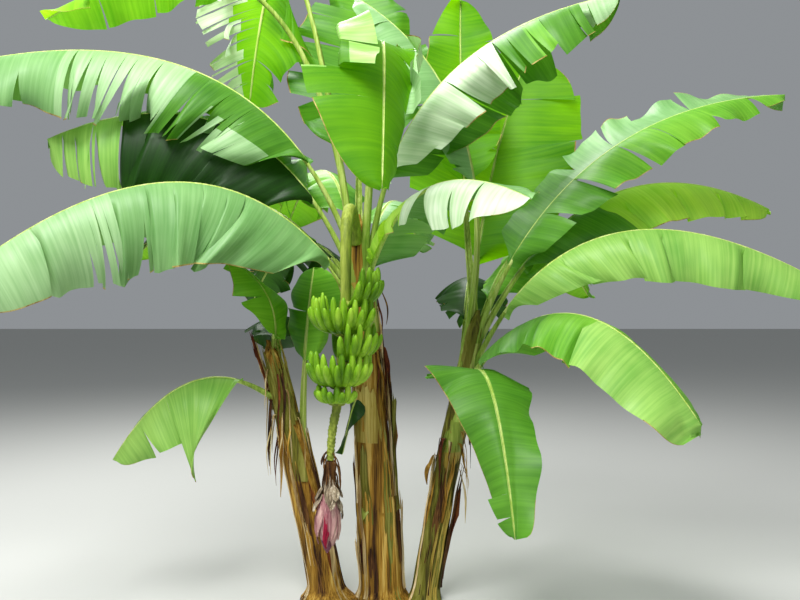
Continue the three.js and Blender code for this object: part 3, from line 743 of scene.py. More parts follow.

# %% [markdown]
# ## The leaf table
# Every leaf has a foot on its stem, a heading, and two points that its rib passes through: the
# crest of its arch and its tip, as distance out and height in millimetres. Width is the blade's
# greatest width, fold is how many degrees its left and its right half hang, or rise where the
# number is below 0, and tears is how often the wind has split it. Stalk is the bare share of the
# rib, roll turns the blade about its rib, and sway bends the rib aside. All these are the
# frame's own numbers, so each leaf grows in its place.
#
# The others only shape the fine skin. Early moves the widest place towards the foot where it is
# low, blunt makes the ends full where it is low, sweep is how far the veins lean forward, and
# wrap is how far the clasping base goes round the stem. Fray adds finer tears, lap is the twist
# with which strips lie over each other like tiles, and finish names the colours of the left and
# the right half. These colours carry painted light as well: a half in the crown's shade takes a
# dark copy of the green, and a half in the sun takes a lighter or near-white one.
#
# In the lists -1 stands for the left half and 1 for the right one, and places go from 0 at the
# foot of the blade to 1 at its tip. Shreds are tears from one place to another, lobes make one
# big strip broader, shades give a stretch another colour from a share of the width outwards,
# and folded bends a stretch over at such a share, by an angle. Most shades are painted light and
# shade: darker greens paint the shade near the stem and in hollows, and lighter ones paint
# sunlight and glare on far parts and folded flaps.

# %% All leaves
LEAVES = [
    dict(stem="centre", foot=1620, heading=207, crest=(690, 2130), tip=(1950, 1660), width=1000,
         blunt=0.36, fold=(80, 30), tears=6, stalk=0.1, fray=0.04, lap=8, finish=("pale", "pale"),
         shreds=[(-1, 0.66, 0.76, 5), (-1, 0.59, 0.6, 1), (-1, 0.5, 0.51, 1), (-1, 0.42, 0.43, 1),
                 (-1, 0.34, 0.35, 1)],
         shades=[(-1, 0.66, 1, 0, "bloom_and_glare")]),
    dict(stem="centre", foot=1850, heading=187, crest=(599, 2651), tip=(2037, 2791), width=960,
         blunt=0.3, fold=(76, 4), tears=7, fray=0.5, finish=("bloom_and_glare", "pale"),
         shades=[(-1, 0, 0.42, 0, "mid"), (1, 0, 0.42, 0, "mid"), (-1, 0.76, 1, 0, "pale"),
                 (-1, 0.06, 0.3, 0.5, "bloom_and_glare")],
         shreds=[(-1, 0.5, 0.76, 10), (-1, 0.12, 0.3, 4)]),
    dict(stem="centre", foot=1725, heading=184, crest=(817, 2552), tip=(1646, 2440), width=1100,
         blunt=0.36, fold=(82, -14), tears=5, fray=0.1, lap=5, finish=("deep", "fresh"),
         shreds=[(-1, 0.74, 0.98, 6)], shades=[(-1, 0.76, 1, 0, "sunny")]),
    dict(stem="centre", foot=1962, heading=183, crest=(850, 3345), tip=(1650, 3075), width=600,
         fold=(25, 25), tears=3, stalk=0.55, fray=0.05, finish=("bright", "fresh")),
    dict(stem="centre", foot=1765, heading=144, crest=(668, 3503), tip=(864, 2774), width=720,
         fold=(18, 18), tears=4, stalk=0.52, roll=56, sweep=0.7, fray=0.4,
         finish=("vivid", "vivid"), shreds=[(-1, 0.1, 0.95, 20)],
         shades=[(-1, 0, 1, 0.38, "bleached")]),
    dict(stem="centre", foot=1540, heading=160, crest=(750, 2160), tip=(1500, 1850), width=560,
         fold=(35, 35), tears=4, fray=0.4, finish=("deep", "fresh")),
    dict(stem="centre", foot=2000, heading=93, crest=(480, 2780), tip=(640, 3540), width=860,
         fold=(-10, -10), tears=4, stalk=0.3, fray=0.7, finish=("mid", "mid")),
    dict(stem="centre", foot=1850, heading=303, crest=(420, 2840), tip=(960, 2050), width=660,
         fold=(36, 8), tears=3, stalk=0.26, sway=460, early=1.2, fray=0.15,
         finish=("vivid", "vivid"), lobes=[(1, lobe, 1.3) for lobe in range(4)],
         shreds=[(1, 0.73, 0.74, 1), (-1, 0.74, 0.75, 1)],
         folded=[(1, 0, 0.74, 0.5, -160), (-1, 0, 0.75, 0.6, -160)],
         shades=[(1, 0, 0.735, 0.54, "sunny"), (-1, 0, 0.745, 0.64, "bloom_and_glare")]),
    dict(stem="centre", foot=1775, heading=339, crest=(480, 2740), tip=(1350, 3060), width=760,
         fold=(76, 66), tears=7, fray=0.2, finish=("mid", "bleached"), shreds=[(1, 0.62, 0.95, 5)],
         shades=[(1, 0.61, 0.71, 0, "mid"), (1, 0.71, 0.77, 0, "fresh"), (1, 0.77, 0.89, 0, "mid"),
                 (1, 0.89, 1, 0, "bloom_and_glare")]),
    dict(stem="centre", foot=1700, heading=312, crest=(466, 2146), tip=(1068, 2050), width=600,
         fold=(10, 50), tears=3, stalk=0.05, sway=-100, early=0.6, fray=0.2,
         finish=("pale", "bleached"), lobes=[(1, lobe, 1.4) for lobe in range(4)],
         shades=[(1, 0, 0.42, 0, "lime")]),
    dict(stem="centre", foot=1680, heading=116, crest=(600, 2380), tip=(1300, 2100), width=600,
         fold=(35, 35), tears=4, fray=0.4, finish=("fresh", "fresh")),
    dict(stem="centre", foot=1740, heading=74, crest=(600, 2200), tip=(1230, 1930), width=510,
         fold=(35, 35), tears=4, fray=0.4, finish=("fresh", "pale")),
    dict(stem="centre", foot=1600, heading=125, crest=(700, 1960), tip=(1400, 1600), width=560,
         fold=(35, 35), tears=4, fray=0.4, finish=("deep", "deep")),
    dict(stem="centre", foot=600, heading=205, crest=(101, 1080), tip=(194, 785), width=150,
         fold=(12, 12), tears=0, stalk=0.58, wrap=30, fray=0.0, finish=("deep", "deep")),
    dict(stem="right", foot=1235, heading=350, crest=(598, 1883), tip=(1851, 1640), width=640,
         fold=(20, 72), tears=4, stalk=0.14, early=1.0, fray=0.05, lap=7,
         finish=("sunny", "sunny"), shreds=[(1, 0.45, 0.46, 1), (1, 0.56, 0.57, 1)]),
    dict(stem="right", foot=1475, heading=5, crest=(913, 2520), tip=(1745, 2741), width=600,
         fold=(-18, 42), tears=6, stalk=0.14, fray=0.1, finish=("pale", "fresh"),
         shades=[(1, 0, 0.3, 0, "mid"), (-1, 0, 0.3, 0, "mid")]),
    dict(stem="right", foot=1350, heading=16, crest=(995, 2242), tip=(1925, 2146), width=560,
         fold=(30, 62), tears=3, fray=0.1, lap=7, finish=("lime", "lime"),
         lobes=[(1, lobe, 1.18) for lobe in range(2)],
         shreds=[(1, 0.6, 0.61, 1), (1, 0.78, 0.79, 1)],
         shades=[(1, 0, 0.3, 0, "mid"), (-1, 0, 0.3, 0, "mid")]),
    dict(stem="right", foot=1170, heading=316, crest=(614, 1532), tip=(1300, 1066), width=690,
         fold=(34, 30), tears=2, stalk=0.08, fray=0.0, blunt=0.24, lap=5, finish=("fresh", "mid"),
         shreds=[(1, 0.36, 0.37, 1), (1, 0.57, 0.58, 1)],
         shades=[(1, 0.366, 0.574, 0, "fresh"), (1, 0.574, 1, 0, "sunny")]),
    dict(stem="right", foot=1060, heading=281, crest=(273, 1237), tip=(896, 574), width=520,
         fold=(15, 15), tears=0, stalk=0.16, fray=0.0, early=0.34, blunt=0.5,
         finish=("mid", "mid"), shreds=[(1, 0.03, 0.16, 3), (1, 0.86, 0.98, 2)]),
    dict(stem="right", foot=1400, heading=84, crest=(570, 2328), tip=(798, 3130), width=980,
         blunt=0.3, fold=(-8, -8), tears=3, stalk=0.27, sway=325, fray=0.05,
         finish=("vivid", "vivid")),
    dict(stem="right", foot=1500, heading=100, crest=(330, 2450), tip=(500, 3400), width=480,
         fold=(-10, -10), tears=3, stalk=0.4, sway=40, fray=0.2, finish=("vivid", "vivid")),
    dict(stem="right", foot=1420, heading=152, crest=(211, 2819), tip=(746, 3364), width=420,
         fold=(50, 60), tears=3, stalk=0.34, fray=0.4, finish=("pale", "pale")),
    dict(stem="right", foot=1200, heading=48, crest=(650, 1930), tip=(1350, 1620), width=560,
         fold=(35, 35), tears=4, fray=0.4, finish=("fresh", "fresh")),
    dict(stem="right", foot=1110, heading=80, crest=(600, 1740), tip=(1150, 1330), width=540,
         fold=(35, 35), tears=4, fray=0.4, finish=("deep", "deep")),
    dict(stem="left", foot=1070, heading=197, crest=(306, 1189), tip=(862, 790), width=560,
         fold=(75, 20), tears=3, fray=0.0, sweep=0.36, lobes=[(-1, 0, 1.9)],
         finish=("sunny", "pale")),
    dict(stem="left", foot=1240, heading=165, crest=(60, 1653), tip=(248, 1819), width=420,
         fold=(14, 14), tears=1, sway=-50, fray=0.1, finish=("fresh", "fresh")),
    dict(stem="left", foot=760, heading=56, crest=(54, 1160), tip=(138, 1780), width=400,
         fold=(20, 20), tears=1, stalk=0.5, early=1.0, fray=0.2, finish=("mid", "fresh")),
    dict(stem="left", foot=1180, heading=98, crest=(350, 1500), tip=(780, 1280), width=440,
         fold=(30, 30), tears=2, fray=0.4, finish=("deep", "deep")),
]
print("leaves:", len(LEAVES))

# %% [markdown]
# ## The line of a rib
# A rib is bent by the weight it carries, so it is nearly a parabola. One passes through any
# three points, here the foot, the crest and the tip, and blending three weights gives it
# without solving anything. Along it go three directions: the way on, the way up from the
# blade, and the way aside. Everything else on a leaf is laid out from these.

# %% Rib and its directions
USUAL_STALK = 0.2
ROLLED_BY = 0.5  # the share of the rib at which a roll is complete
FOOT_OUT = 0.7  # where a rib starts, as a share of the stem's radius
STALK_RADIUS = (24, 14)
RIB_TIP_RADIUS = 5
RIB_STEP = 1e-3  # to each side, for the rib's direction


def rib_line(leaf):
    """A function from 0..1 to points of the parabola through foot, crest and tip, its way
    aside, and its length as two chords."""
    heading = np.radians(leaf["heading"])
    foot = stem_axis(leaf["stem"], leaf["foot"])
    out = np.array([np.cos(heading), np.sin(heading), 0])
    aside = np.array([out[1], -out[0], 0])
    start = np.array([FOOT_OUT * stem_radius(leaf["stem"], leaf["foot"]), leaf["foot"]])
    crest, tip = np.array(leaf["crest"]), np.array(leaf["tip"])
    first, second = np.hypot(*(crest - start)), np.hypot(*(tip - crest))
    middle = first / (first + second)

    def place(t):
        weights = np.stack([(t - middle) * (t - 1) / middle,
                            t * (t - 1) / (middle * (middle - 1)),
                            t * (t - middle) / (1 - middle)], axis=-1)
        flat = weights @ np.stack([start, crest, tip])
        points = np.array([foot[0], foot[1], 0]) + flat[:, :1] * out
        points = points + (leaf.get("sway", 0) * t * t)[:, None] * aside
        points[:, 2] += flat[:, 1]
        return points

    return place, aside, first + second


def rib_frames(leaf, t):
    """Centre, way on, way up and way aside at places t, turned by the leaf's roll."""
    place, aside, _ = rib_line(leaf)
    on = unit(place(t + RIB_STEP) - place(t - RIB_STEP))
    up = unit(np.cross(aside, on))
    turn = np.radians(leaf.get("roll", 0)) * np.minimum(1, t / ROLLED_BY)[:, None]
    up = up * np.cos(turn) + np.cross(on, up) * np.sin(turn)
    return place(t), on, up, np.cross(on, up)


def rib_radius(leaf, t):
    """The rib thins evenly along the bare stalk, and again from there to the tip."""
    bare = leaf.get("stalk", USUAL_STALK)
    blade = np.maximum(0, (t - bare) / (1 - bare))
    return mix(mix(*STALK_RADIUS, np.minimum(1, t / bare)), RIB_TIP_RADIUS, blade)


print("first rib:", round(float(rib_line(LEAVES[0])[2])), "mm")

# %% [markdown]
# ## Where a blade is torn
# Wind splits a blade along its side veins, from the margin in. The big tears reach the rib
# and are the frame's own. Finer ones stop part of the way. Between two tears lies a strip
# that hangs and twists by itself. A strip needs only its two ends, how deep the tear at
# each end goes, and a few scattered numbers of its own.

# %% Tears and strips
TEARS_FROM, TEARS_REACH = 0.1, 0.84  # the stretch of a blade that can be torn to its rib
TEAR_PICK, LEFT_DROOP, RIGHT_DROOP = 40, 60, 80  # which scattered number is used for what
FINE_PICK, RIGHT_FINE_PICK, FINE_GROUP, FINE_DEPTH_PICK = 300, 150, 20, 7
SHRED_PICK, SHRED_DEPTH_PICK = 230, 260
LEFT_TORN_UNDER, RIGHT_TORN_OVER = 0.6, 0.35
END_DEPTH, MAIN_DEPTH = 0.3, 0.02  # where a tear starts, as a share of the width from the rib
FINE_DEPTH, SHRED_DEPTH = (0.08, 0.72), (0.04, 0.26)  # the least, and how much may be added
FINE_TEAR_EVERY = 110  # millimetres along the rib, at a fray of 1
CLEAR_OF_MAIN, CLEAR_OF_TIP, CLEAR_OF_ANY = 0.012, 0.97, 0.006  # shares of the blade's length
STATION = 8  # millimetres between two rows of points


def tears_of(leaf, item, sign):
    """Places of the frame's tears in one half, by its rule."""
    tear = np.arange(leaf["tears"])
    share = (tear + 0.25 + 0.5 * scatter(item, tear)) / max(1, leaf["tears"])
    pick = scatter(item, tear + TEAR_PICK)
    cut = pick > RIGHT_TORN_OVER if sign > 0 else pick < LEFT_TORN_UNDER
    return (TEARS_FROM + TEARS_REACH * share)[cut]


def fine_tears(leaf, item, sign, length, bounds):
    """Tears between the frame's own, as many as fray gives, scattered in place and depth."""
    cuts = []
    for count, (start, end) in enumerate(zip(bounds, bounds[1:])):
        fine = int(round((end - start) * length / FINE_TEAR_EVERY * leaf["fray"]))
        for cut in range(fine):
            use = FINE_PICK + FINE_GROUP * count + cut + (RIGHT_FINE_PICK if sign > 0 else 0)
            place = mix(start, end, (cut + 0.3 + 0.8 * scatter(item, use)) / (fine + 0.4))
            if start + CLEAR_OF_MAIN < place < min(end, CLEAR_OF_TIP) - CLEAR_OF_MAIN:
                pick = float(scatter(item, use + FINE_DEPTH_PICK))
                cuts.append((float(place), FINE_DEPTH[0] + FINE_DEPTH[1] * pick ** 0.7))
    return cuts


def strips_of(leaf, item, sign, length):
    """Strips of one half as rows of start, end, depth at both ends, main strip and number."""
    main = tears_of(leaf, item, sign)
    cuts = [(0.0, END_DEPTH)] + [(place, MAIN_DEPTH) for place in main] + [(1.0, END_DEPTH)]
    cuts += fine_tears(leaf, item, sign, length, [0.0, *main, 1.0])
    for half, begin, stop, number in leaf.get("shreds", []):
        for cut in range(number if half == sign else 0):
            pick = float(scatter(item, cut + SHRED_PICK))
            place = mix(begin, stop, (cut + 0.7 * pick) / number)
            if min(abs(place - other[0]) for other in cuts) > CLEAR_OF_ANY:
                pick = float(scatter(item, cut + SHRED_DEPTH_PICK))
                cuts.append((place, SHRED_DEPTH[0] + SHRED_DEPTH[1] * pick))
    cuts.sort()
    strips = []
    for number, ((start, start_depth), (end, end_depth)) in enumerate(zip(cuts, cuts[1:])):
        main_strip = int((main < (start + end) / 2).sum())
        strips.append((start, end, start_depth, end_depth, main_strip, number))
    return strips


def stations_of(strips, length):
    """Rows of points for all strips: the place, the share of its own strip, and its strip."""
    places, shares, owners = [], [], []
    for owner, (start, end, *_) in enumerate(strips):
        count = max(3, int(np.ceil((end - start) * length / STATION)) + 1)
        share = np.linspace(0, 1, count)
        places.append(mix(start, end, share))
        shares.append(share)
        owners.append(np.full(count, owner))
    return np.concatenate(places), np.concatenate(shares), np.concatenate(owners)


print("big tears:", sum(len(tears_of(leaf, item, sign)) for item, leaf in enumerate(LEAVES)
                         for sign in (-1, 1)))

# %% [markdown]
# ## Half a blade, row by row
# Each row of points runs from the rib to the margin at one place on the rib. It belongs to one
# strip, so the strip's scattered numbers are looked up for all its rows at once. Where a leaf's
# strips lap, each of the broad ones reaches over the next one like a tile, and its far edge is
# tucked under.

# %% Rows of half a blade
BLADE_GROWN_BY = 0.06  # the share of the blade's length by which it is full
USUAL_EARLY, USUAL_BLUNT = 0.82, 0.5
TEAR_HALF_GAP = 0.014
LEAST_HALF_GAP, MOST_HALF_GAP = 1.5, 0.22  # millimetres, and a share of the strip's length
STRIP_TWIST = 20
STRIP_YAW = 7
SLANT = 0.16  # how far one corner of a strip's end lies behind the other, as a share of it
LAP, LAPPED_OVER = 0.05, 60  # by which share a strip laps the next, if it is longer than this
BRITTLE_RIM = 0.985
ACROSS = np.append(np.linspace(0, BRITTLE_RIM, 15), 1.0)
# Each use of a strip's scatter has a number of its own, so that no two go together.
USES = {"droop": 400, "curl": 500, "twist": 600, "gap": 650, "short": 700, "slant": 750,
        "wave": 800, "broken": 850, "yaw": 870, "rim": 900, "shade": 960}


def blade_shape(v, early, blunt):
    """Half the width as a share of the greatest: the sine of v to an early power, which moves
    the widest place to the foot where it is low, raised to a power that blunts the ends."""
    return np.sin(np.pi * np.clip(v, 0, 1) ** early).clip(0) ** blunt


def drawn(rows, use):
    """The steady number of each row's strip for one use."""
    return scatter(rows.seed, rows.number + USES[use])


def half_widths(leaf, sign, v, main, radius, grown):
    """Half the blade's width at each row, with the broader big strips."""
    shape = blade_shape(v, leaf.get("early", USUAL_EARLY), leaf.get("blunt", USUAL_BLUNT))
    width = np.maximum(radius * 0.5, leaf["width"] / 2 * shape * grown)
    for half, lobe, longer in leaf.get("lobes", []):
        width = np.where((half == sign) & (main == lobe), width * longer, width)
    return width


def half_rows(leaf, item, sign):
    """The numbers of every row, each as a column: its place v on the blade, its share of its
    strip, and own, the share of the way from the foot of the strip's tear to the margin."""
    bare = leaf.get("stalk", USUAL_STALK)
    length = rib_line(leaf)[2] * (1 - bare)
    strips = strips_of(leaf, item, sign, length)
    v, share, owner = stations_of(strips, length)
    table = np.array(strips)[owner]
    start, end, start_depth, end_depth, main, number = table.T[:, :, None]
    rows = SimpleNamespace(v=v[:, None], owner=owner, main=main, number=number, length=length)
    rows.seed = item * 31 + (13 if sign > 0 else 0)
    rows.share = share[:, None]
    rows.middle = (start + end) / 2
    rows.strip_length = (end - start) * length
    rows.radius = rib_radius(leaf, mix(bare, 1, rows.v))
    rows.grown = np.minimum(1, rows.v / BLADE_GROWN_BY)
    rows.width = half_widths(leaf, sign, rows.v, main, rows.radius, rows.grown)
    rows.depth = mix(start_depth, end_depth, rows.share)
    rows.own = np.clip((ACROSS - rows.depth) / (1 - rows.depth), 0, 1)
    rows.lapped = (rows.strip_length > LAPPED_OVER) & ("lap" in leaf)
    rows.opened = np.where(rows.lapped, np.minimum(1, 4 * rows.own), rows.own)
    return rows


print("points in a row:", len(ACROSS))

# %% [markdown]
# ## How a blade hangs
# From the rib outwards a blade first rises a little, then bends over and hangs. Adding up many
# short steps, each turned by the angle at its place, gives that curve for any row. A torn strip
# takes a droop, a curl and sometimes a break of its own, but only beyond the point where
# its tear starts, so the skin stays whole nearer the rib.

# %% Angles and their sums
TORN_DROOP = 24
RISE = 16  # degrees that a blade rises beside its rib
OWN_DROOP = 22  # degrees by which a fine strip hangs more or less than its neighbours
STRIP_CURL = 34
BREAK = 60  # degrees by which a broken strip hangs beyond its crease
BREAK_FROM, BREAK_OVER = 0.35, 0.2
FOLDED_OVER = 0.12  # the share of the width that a folded margin needs to bend
LEAST_FRAY = 0.3  # added to the fray, so that whole leaves hang unevenly as well


def hang_angle(leaf, rows, item, sign):
    """The angle below the blade's plane. It grows evenly outwards from five eighths of the
    fold, less a rise beside the rib that fades as a fifth power, and each strip adds its droop,
    its curl by the square of its own share, and its break."""
    loose = min(1, leaf["fray"] + LEAST_FRAY)
    use = rows.main + (RIGHT_DROOP if sign > 0 else LEFT_DROOP)
    droop = (scatter(item, use) - 0.5) * TORN_DROOP if leaf["tears"] else 0 * rows.v
    own_droop = (drawn(rows, "droop") - 0.4) * OWN_DROOP * loose
    curl = drawn(rows, "curl") * STRIP_CURL * loose
    broken = BREAK * (drawn(rows, "broken") < 0.7 * leaf["fray"])
    fold = leaf["fold"][0 if sign < 0 else 1]
    angle = (fold * (0.625 + 0.7 * ACROSS) + droop * (0.1 + 1.2 * ACROSS)) * rows.grown
    angle = angle - RISE * (1 - ACROSS) ** 5 + (own_droop * rows.own + curl * rows.own ** 2)
    angle = angle + broken * smooth((rows.own - BREAK_FROM) / BREAK_OVER)
    for half, begin, stop, inner, bend in leaf.get("folded", []):
        there = (half == sign) & (rows.middle > begin) & (rows.middle < stop)
        angle = angle + bend * there * smooth((ACROSS - inner) / FOLDED_OVER)
    return np.radians(angle)


def added_up(steps):
    """Sums along each row of the mean of two neighbours times the gap between them."""
    sums = np.cumsum((steps[:, 1:] + steps[:, :-1]) / 2 * np.diff(ACROSS), axis=1)
    return np.concatenate([0 * sums[:, :1], sums], axis=1)


def hang(rows, angle):
    """How far out and how far down each point lies. A strip's end is cut short and slanted."""
    slant = (drawn(rows, "slant") - 0.5) * SLANT
    short = 0.1 * drawn(rows, "short") ** 2 + slant * (rows.share - 0.5)
    stretch = rows.width * (1 - short * smooth(rows.own * 2))
    out = added_up(stretch * np.cos(angle)) + rows.radius * 0.45
    down = added_up(stretch * np.sin(angle)) - rows.radius * 0.45
    return out, down


print("a blade rises by", RISE, "degrees beside its rib")

# %% [markdown]
# ## How strips part and twist
# Two more shifts finish a strip. Along the rib it draws back from both its tears or laps the
# next strip, and it turns a little in its plane. Out of the plane it twists, and slow
# waves and a fine pleat run through the whole half. On the real leaf a pleat is one side vein,
# 6 mm wide, but here it is drawn 70 mm wide, because finer ones don't show from this distance.

# %% Shifts in the plane and out of it
VEIN_SWEEP = 0.2
TUCK, TUCKED_FROM = 46, 0.84  # how deep a lapping strip's far edge bends, and from which share
WAVES = [(22, 62, 1), (8, 27, 2)]  # depth, length of one radian, and how many phases ahead
PLEAT_DEPTH, PLEAT_LENGTH = 0.8, 11


def squeeze_of(rows):
    """Shifts along the rib: each side of a strip moves towards its middle, or over the next
    strip where it laps, and its margin moves by the sine of its yaw."""
    gap = np.minimum(TEAR_HALF_GAP * rows.length * drawn(rows, "gap") ** 2 + LEAST_HALF_GAP,
                     rows.strip_length * MOST_HALF_GAP)
    gap = np.where(rows.lapped, -LAP * rows.strip_length, gap)
    yaw = np.radians(mix(-STRIP_YAW, STRIP_YAW, drawn(rows, "yaw")))
    squeeze = gap * rows.opened * (1 - 2 * rows.share)
    return squeeze + rows.width * np.sin(yaw) * rows.own * (ACROSS - rows.depth)


def bulge_of(leaf, rows):
    """Shifts out of the plane: two waves that grow as the square of the way out, a pleat, a
    twist about the strip's middle and the tuck of its far edge."""
    phase = 6.28 * scatter(rows.seed, USES["wave"])
    along = rows.v * rows.length
    wave = sum(depth * np.sin(along / length + turn * phase) for depth, length, turn in WAVES)
    pleat = PLEAT_DEPTH * np.sin(along / PLEAT_LENGTH + np.sin(rows.v * 40))
    bulge = wave * ACROSS ** 2 + pleat * np.minimum(1, 5 * ACROSS) * (1 - 0.4 * ACROSS)
    twist = np.radians((drawn(rows, "twist") - 0.5) * 2 * STRIP_TWIST)
    twist = np.where(rows.lapped, np.radians(leaf.get("lap", 0)), twist)
    bulge = bulge + (rows.share - 0.5) * rows.strip_length * np.sin(twist) * rows.own
    tucked = rows.lapped * TUCK * smooth((rows.share - TUCKED_FROM) / (1 - TUCKED_FROM))
    return bulge - tucked * rows.opened


print("a lapped strip covers", LAP, "of its length on the next")

# %% [markdown]
# ## The blade's finishes and its surface
# The two halves and the shades are whole finishes, dealt out face by face, and the shades paint
# light and shade onto stretches of a half. The outermost faces of many strips are dried brown,
# more often near the tip. The blade's own map counts metres along the rib and metres outwards, so
# the veins keep their width on every leaf.

# %% The blade surface
LEFT_HALF, RIM, CLASPING, GUTTER, RIB_SKIN, RIGHT_HALF, DRY_FOOT, FIRST_SHADE = range(8)
RAGGED = 0.3  # how unevenly a shade starts across a half
DRY_RIMS, DRIER_RIMS, DRIER_FROM = 0.35, 0.3, 0.9


def half_finishes(leaf, rows, sign):
    """A finish for every face: the half's own, then its shades of painted light and shade, then
    brown on the dry rims.
    """
    v = rows.v[:-1]
    finish = np.full((len(v), len(ACROSS) - 1), RIGHT_HALF if sign > 0 else LEFT_HALF)
    for count, (half, begin, stop, inner, _) in enumerate(leaf.get("shades", [])):
        ragged = inner + (inner > 0) * RAGGED * (drawn(rows, "shade")[:-1] - 0.5)
        there = (half == sign) & (v >= begin) & (v < stop)
        finish[there & (ACROSS[:-1] >= ragged)] = FIRST_SHADE + count
    dry = drawn(rows, "rim")[:-1] < DRY_RIMS + DRIER_RIMS * (v > DRIER_FROM)
    finish[dry[:, 0], -1] = RIM
    return finish


def blade_patch(leaf, item, sign):
    """One half of a blade: from the rib's centre, along the rib by sweep and squeeze, aside and
    down by the hanging curve, and by the bulge at right angles to that curve."""
    rows = half_rows(leaf, item, sign)
    angle = hang_angle(leaf, rows, item, sign)
    out, down = hang(rows, angle)
    squeeze = squeeze_of(rows)
    sweep = (rows.width - rows.radius).clip(0) * leaf.get("sweep", VEIN_SWEEP) * ACROSS ** 1.3
    bulge = bulge_of(leaf, rows)
    bare = leaf.get("stalk", USUAL_STALK)
    centre, on, up, aside = rib_frames(leaf, mix(bare, 1, rows.v[:, 0]))
    points = centre[:, None] + on[:, None] * (sweep + squeeze)[..., None]
    points = points + aside[:, None] * (sign * out + bulge * (sign * np.sin(angle)))[..., None]
    points = points + up[:, None] * (bulge * np.cos(angle) - down)[..., None]
    places = np.stack([rows.v * rows.length + squeeze, ACROSS * rows.width], axis=-1) * MM
    joined = rows.owner[1:] == rows.owner[:-1]
    finish = half_finishes(leaf, rows, sign)
    return patch_of(points * MM, places, finish, joined=joined, flip=sign < 0)


print("left half of the first leaf:", len(blade_patch(LEAVES[0], 0, -1)[1]), "faces")

# %% [markdown]
# ## Stalk, rib and clasping base
# One gutter runs through a whole leaf. At the bottom it is a wide sheath round the stem, then
# it closes to a thick U-shaped stalk, and under the blade it becomes the rib, nearly
# solid with a shallow groove. So it is one skin: a row of U-shaped sections whose middle,
# radius, opening and wall change on the way from the stem to the tip.

# %% The gutter surface
SHEATH_ROWS, STALK_ROWS, RIB_ROWS = 16, 20, 40
OUTSIDE_POINTS, INSIDE_POINTS = 13, 9
WRAP = 82  # degrees to each side of the keel that a sheath covers, where its leaf gives no other
STALK_OPENING, RIB_OPENING = 118, 128  # degrees to each side of the keel
STALK_WALL, RIB_WALL = 0.4, 0.82  # shares of the radius
SHEATH_WALL = (2.5, 9)
SHEATH_DEEPEST, SHEATH_DEEP = 430, 0.42  # millimetres, and a share of the foot's height
FIRST_STALK_ROW = 0.012  # just past the last section of the sheath
DRY_UP_TO, CLASPING_UP_TO = 0.4, 0.75  # shares of the sheath's rows


def sheath_rows(leaf, order):
    """Sections from the sheath up to the foot of the stalk. The sheath's middle is the stem's
    axis and moves out as its radius shrinks to the stalk's, so that its keel stays even. It
    starts as a point on the bark and soon wraps the stem."""
    name, foot = leaf["stem"], leaf["foot"]
    deep = min(SHEATH_DEEPEST, foot * SHEATH_DEEP)
    q = np.linspace(0, 1, SHEATH_ROWS, endpoint=False)
    height = foot - deep * (1 - q)
    heading = np.radians(leaf["heading"])
    keel = np.array([np.cos(heading), np.sin(heading), 0.0])
    side = np.array([keel[1], -keel[0], 0.0])
    stem = stem_radius(name, height)
    skin = stem + (1.5 + 1.1 * order) * smooth(q / 0.3)
    close = smooth((q - 0.35) / 0.65)
    radius = mix(skin, STALK_RADIUS[0], close)
    end = FOOT_OUT * stem[-1] + STALK_RADIUS[0]
    reach = mix(skin, end, smooth((q - 0.5) / 0.5)) - radius
    centre = stem_axis(name, height) + reach[:, None] * keel
    opening = np.radians(mix(leaf.get("wrap", WRAP), STALK_OPENING, close))
    opening = opening * mix(0.03, 1, smooth(q / 0.5))
    keels, sides = (np.broadcast_to(way, (SHEATH_ROWS, 3)) for way in (keel, side))
    return centre, keels, sides, radius, opening, mix(*SHEATH_WALL, close)


def stalk_rows(leaf):
    """Sections of the stalk and the rib, which fill up to a nearly solid bar under the blade."""
    bare = leaf.get("stalk", USUAL_STALK)
    t = np.concatenate([np.linspace(FIRST_STALK_ROW, bare, STALK_ROWS, endpoint=False),
                        np.linspace(bare, 1, RIB_ROWS)])
    centre, _, up, aside = rib_frames(leaf, t)
    solid = smooth(np.maximum(0, (t - bare) / (1 - bare)) / 0.12)
    radius = rib_radius(leaf, t) * np.where(t > 0.999, 0.3, 1)
    opening = np.radians(mix(STALK_OPENING, RIB_OPENING, solid))
    return centre, -up, aside, radius, opening, radius * mix(STALK_WALL, RIB_WALL, solid)


def gutter_patch(leaf, order):
    """U-shaped sections, each an arc outside and an arc inside, from the sheath to the tip."""
    both = zip(sheath_rows(leaf, order), stalk_rows(leaf))
    centre, keel, side, radius, opening, wall = (np.concatenate(pair)[:, None] for pair in both)
    outer = np.linspace(-1, 1, OUTSIDE_POINTS)[None, :] * opening
    inner = np.linspace(1, -1, INSIDE_POINTS)[None, :] * opening * 0.94
    turn = np.concatenate([outer, inner], axis=1)
    reach = np.concatenate([radius + 0 * outer, radius - wall + 0 * inner], axis=1)
    points = centre + keel * (np.cos(turn) * reach)[..., None]
    points = points + side * (np.sin(turn) * reach)[..., None]
    points = closed(points, points[0].mean(axis=0), points[-1].mean(axis=0))
    finish = np.full((len(points) - 1, points.shape[1]), RIB_SKIN)
    finish[:1 + SHEATH_ROWS + STALK_ROWS] = GUTTER
    finish[:1 + int(SHEATH_ROWS * CLASPING_UP_TO)] = CLASPING
    finish[:1 + int(SHEATH_ROWS * DRY_UP_TO)] = DRY_FOOT
    return patch_of(points * MM, finish=finish, round_it=True)


print("sections of a gutter:", SHEATH_ROWS + STALK_ROWS + RIB_ROWS)

# %% [markdown]
# ## Putting the leaves together
# Older leaves stand lower and clasp outside the younger ones, so the order of the feet sets
# how far out each sheath lies. Each leaf is one mesh of three skins, two halves and the
# gutter, and it takes the place of the plain leaf of the frame.

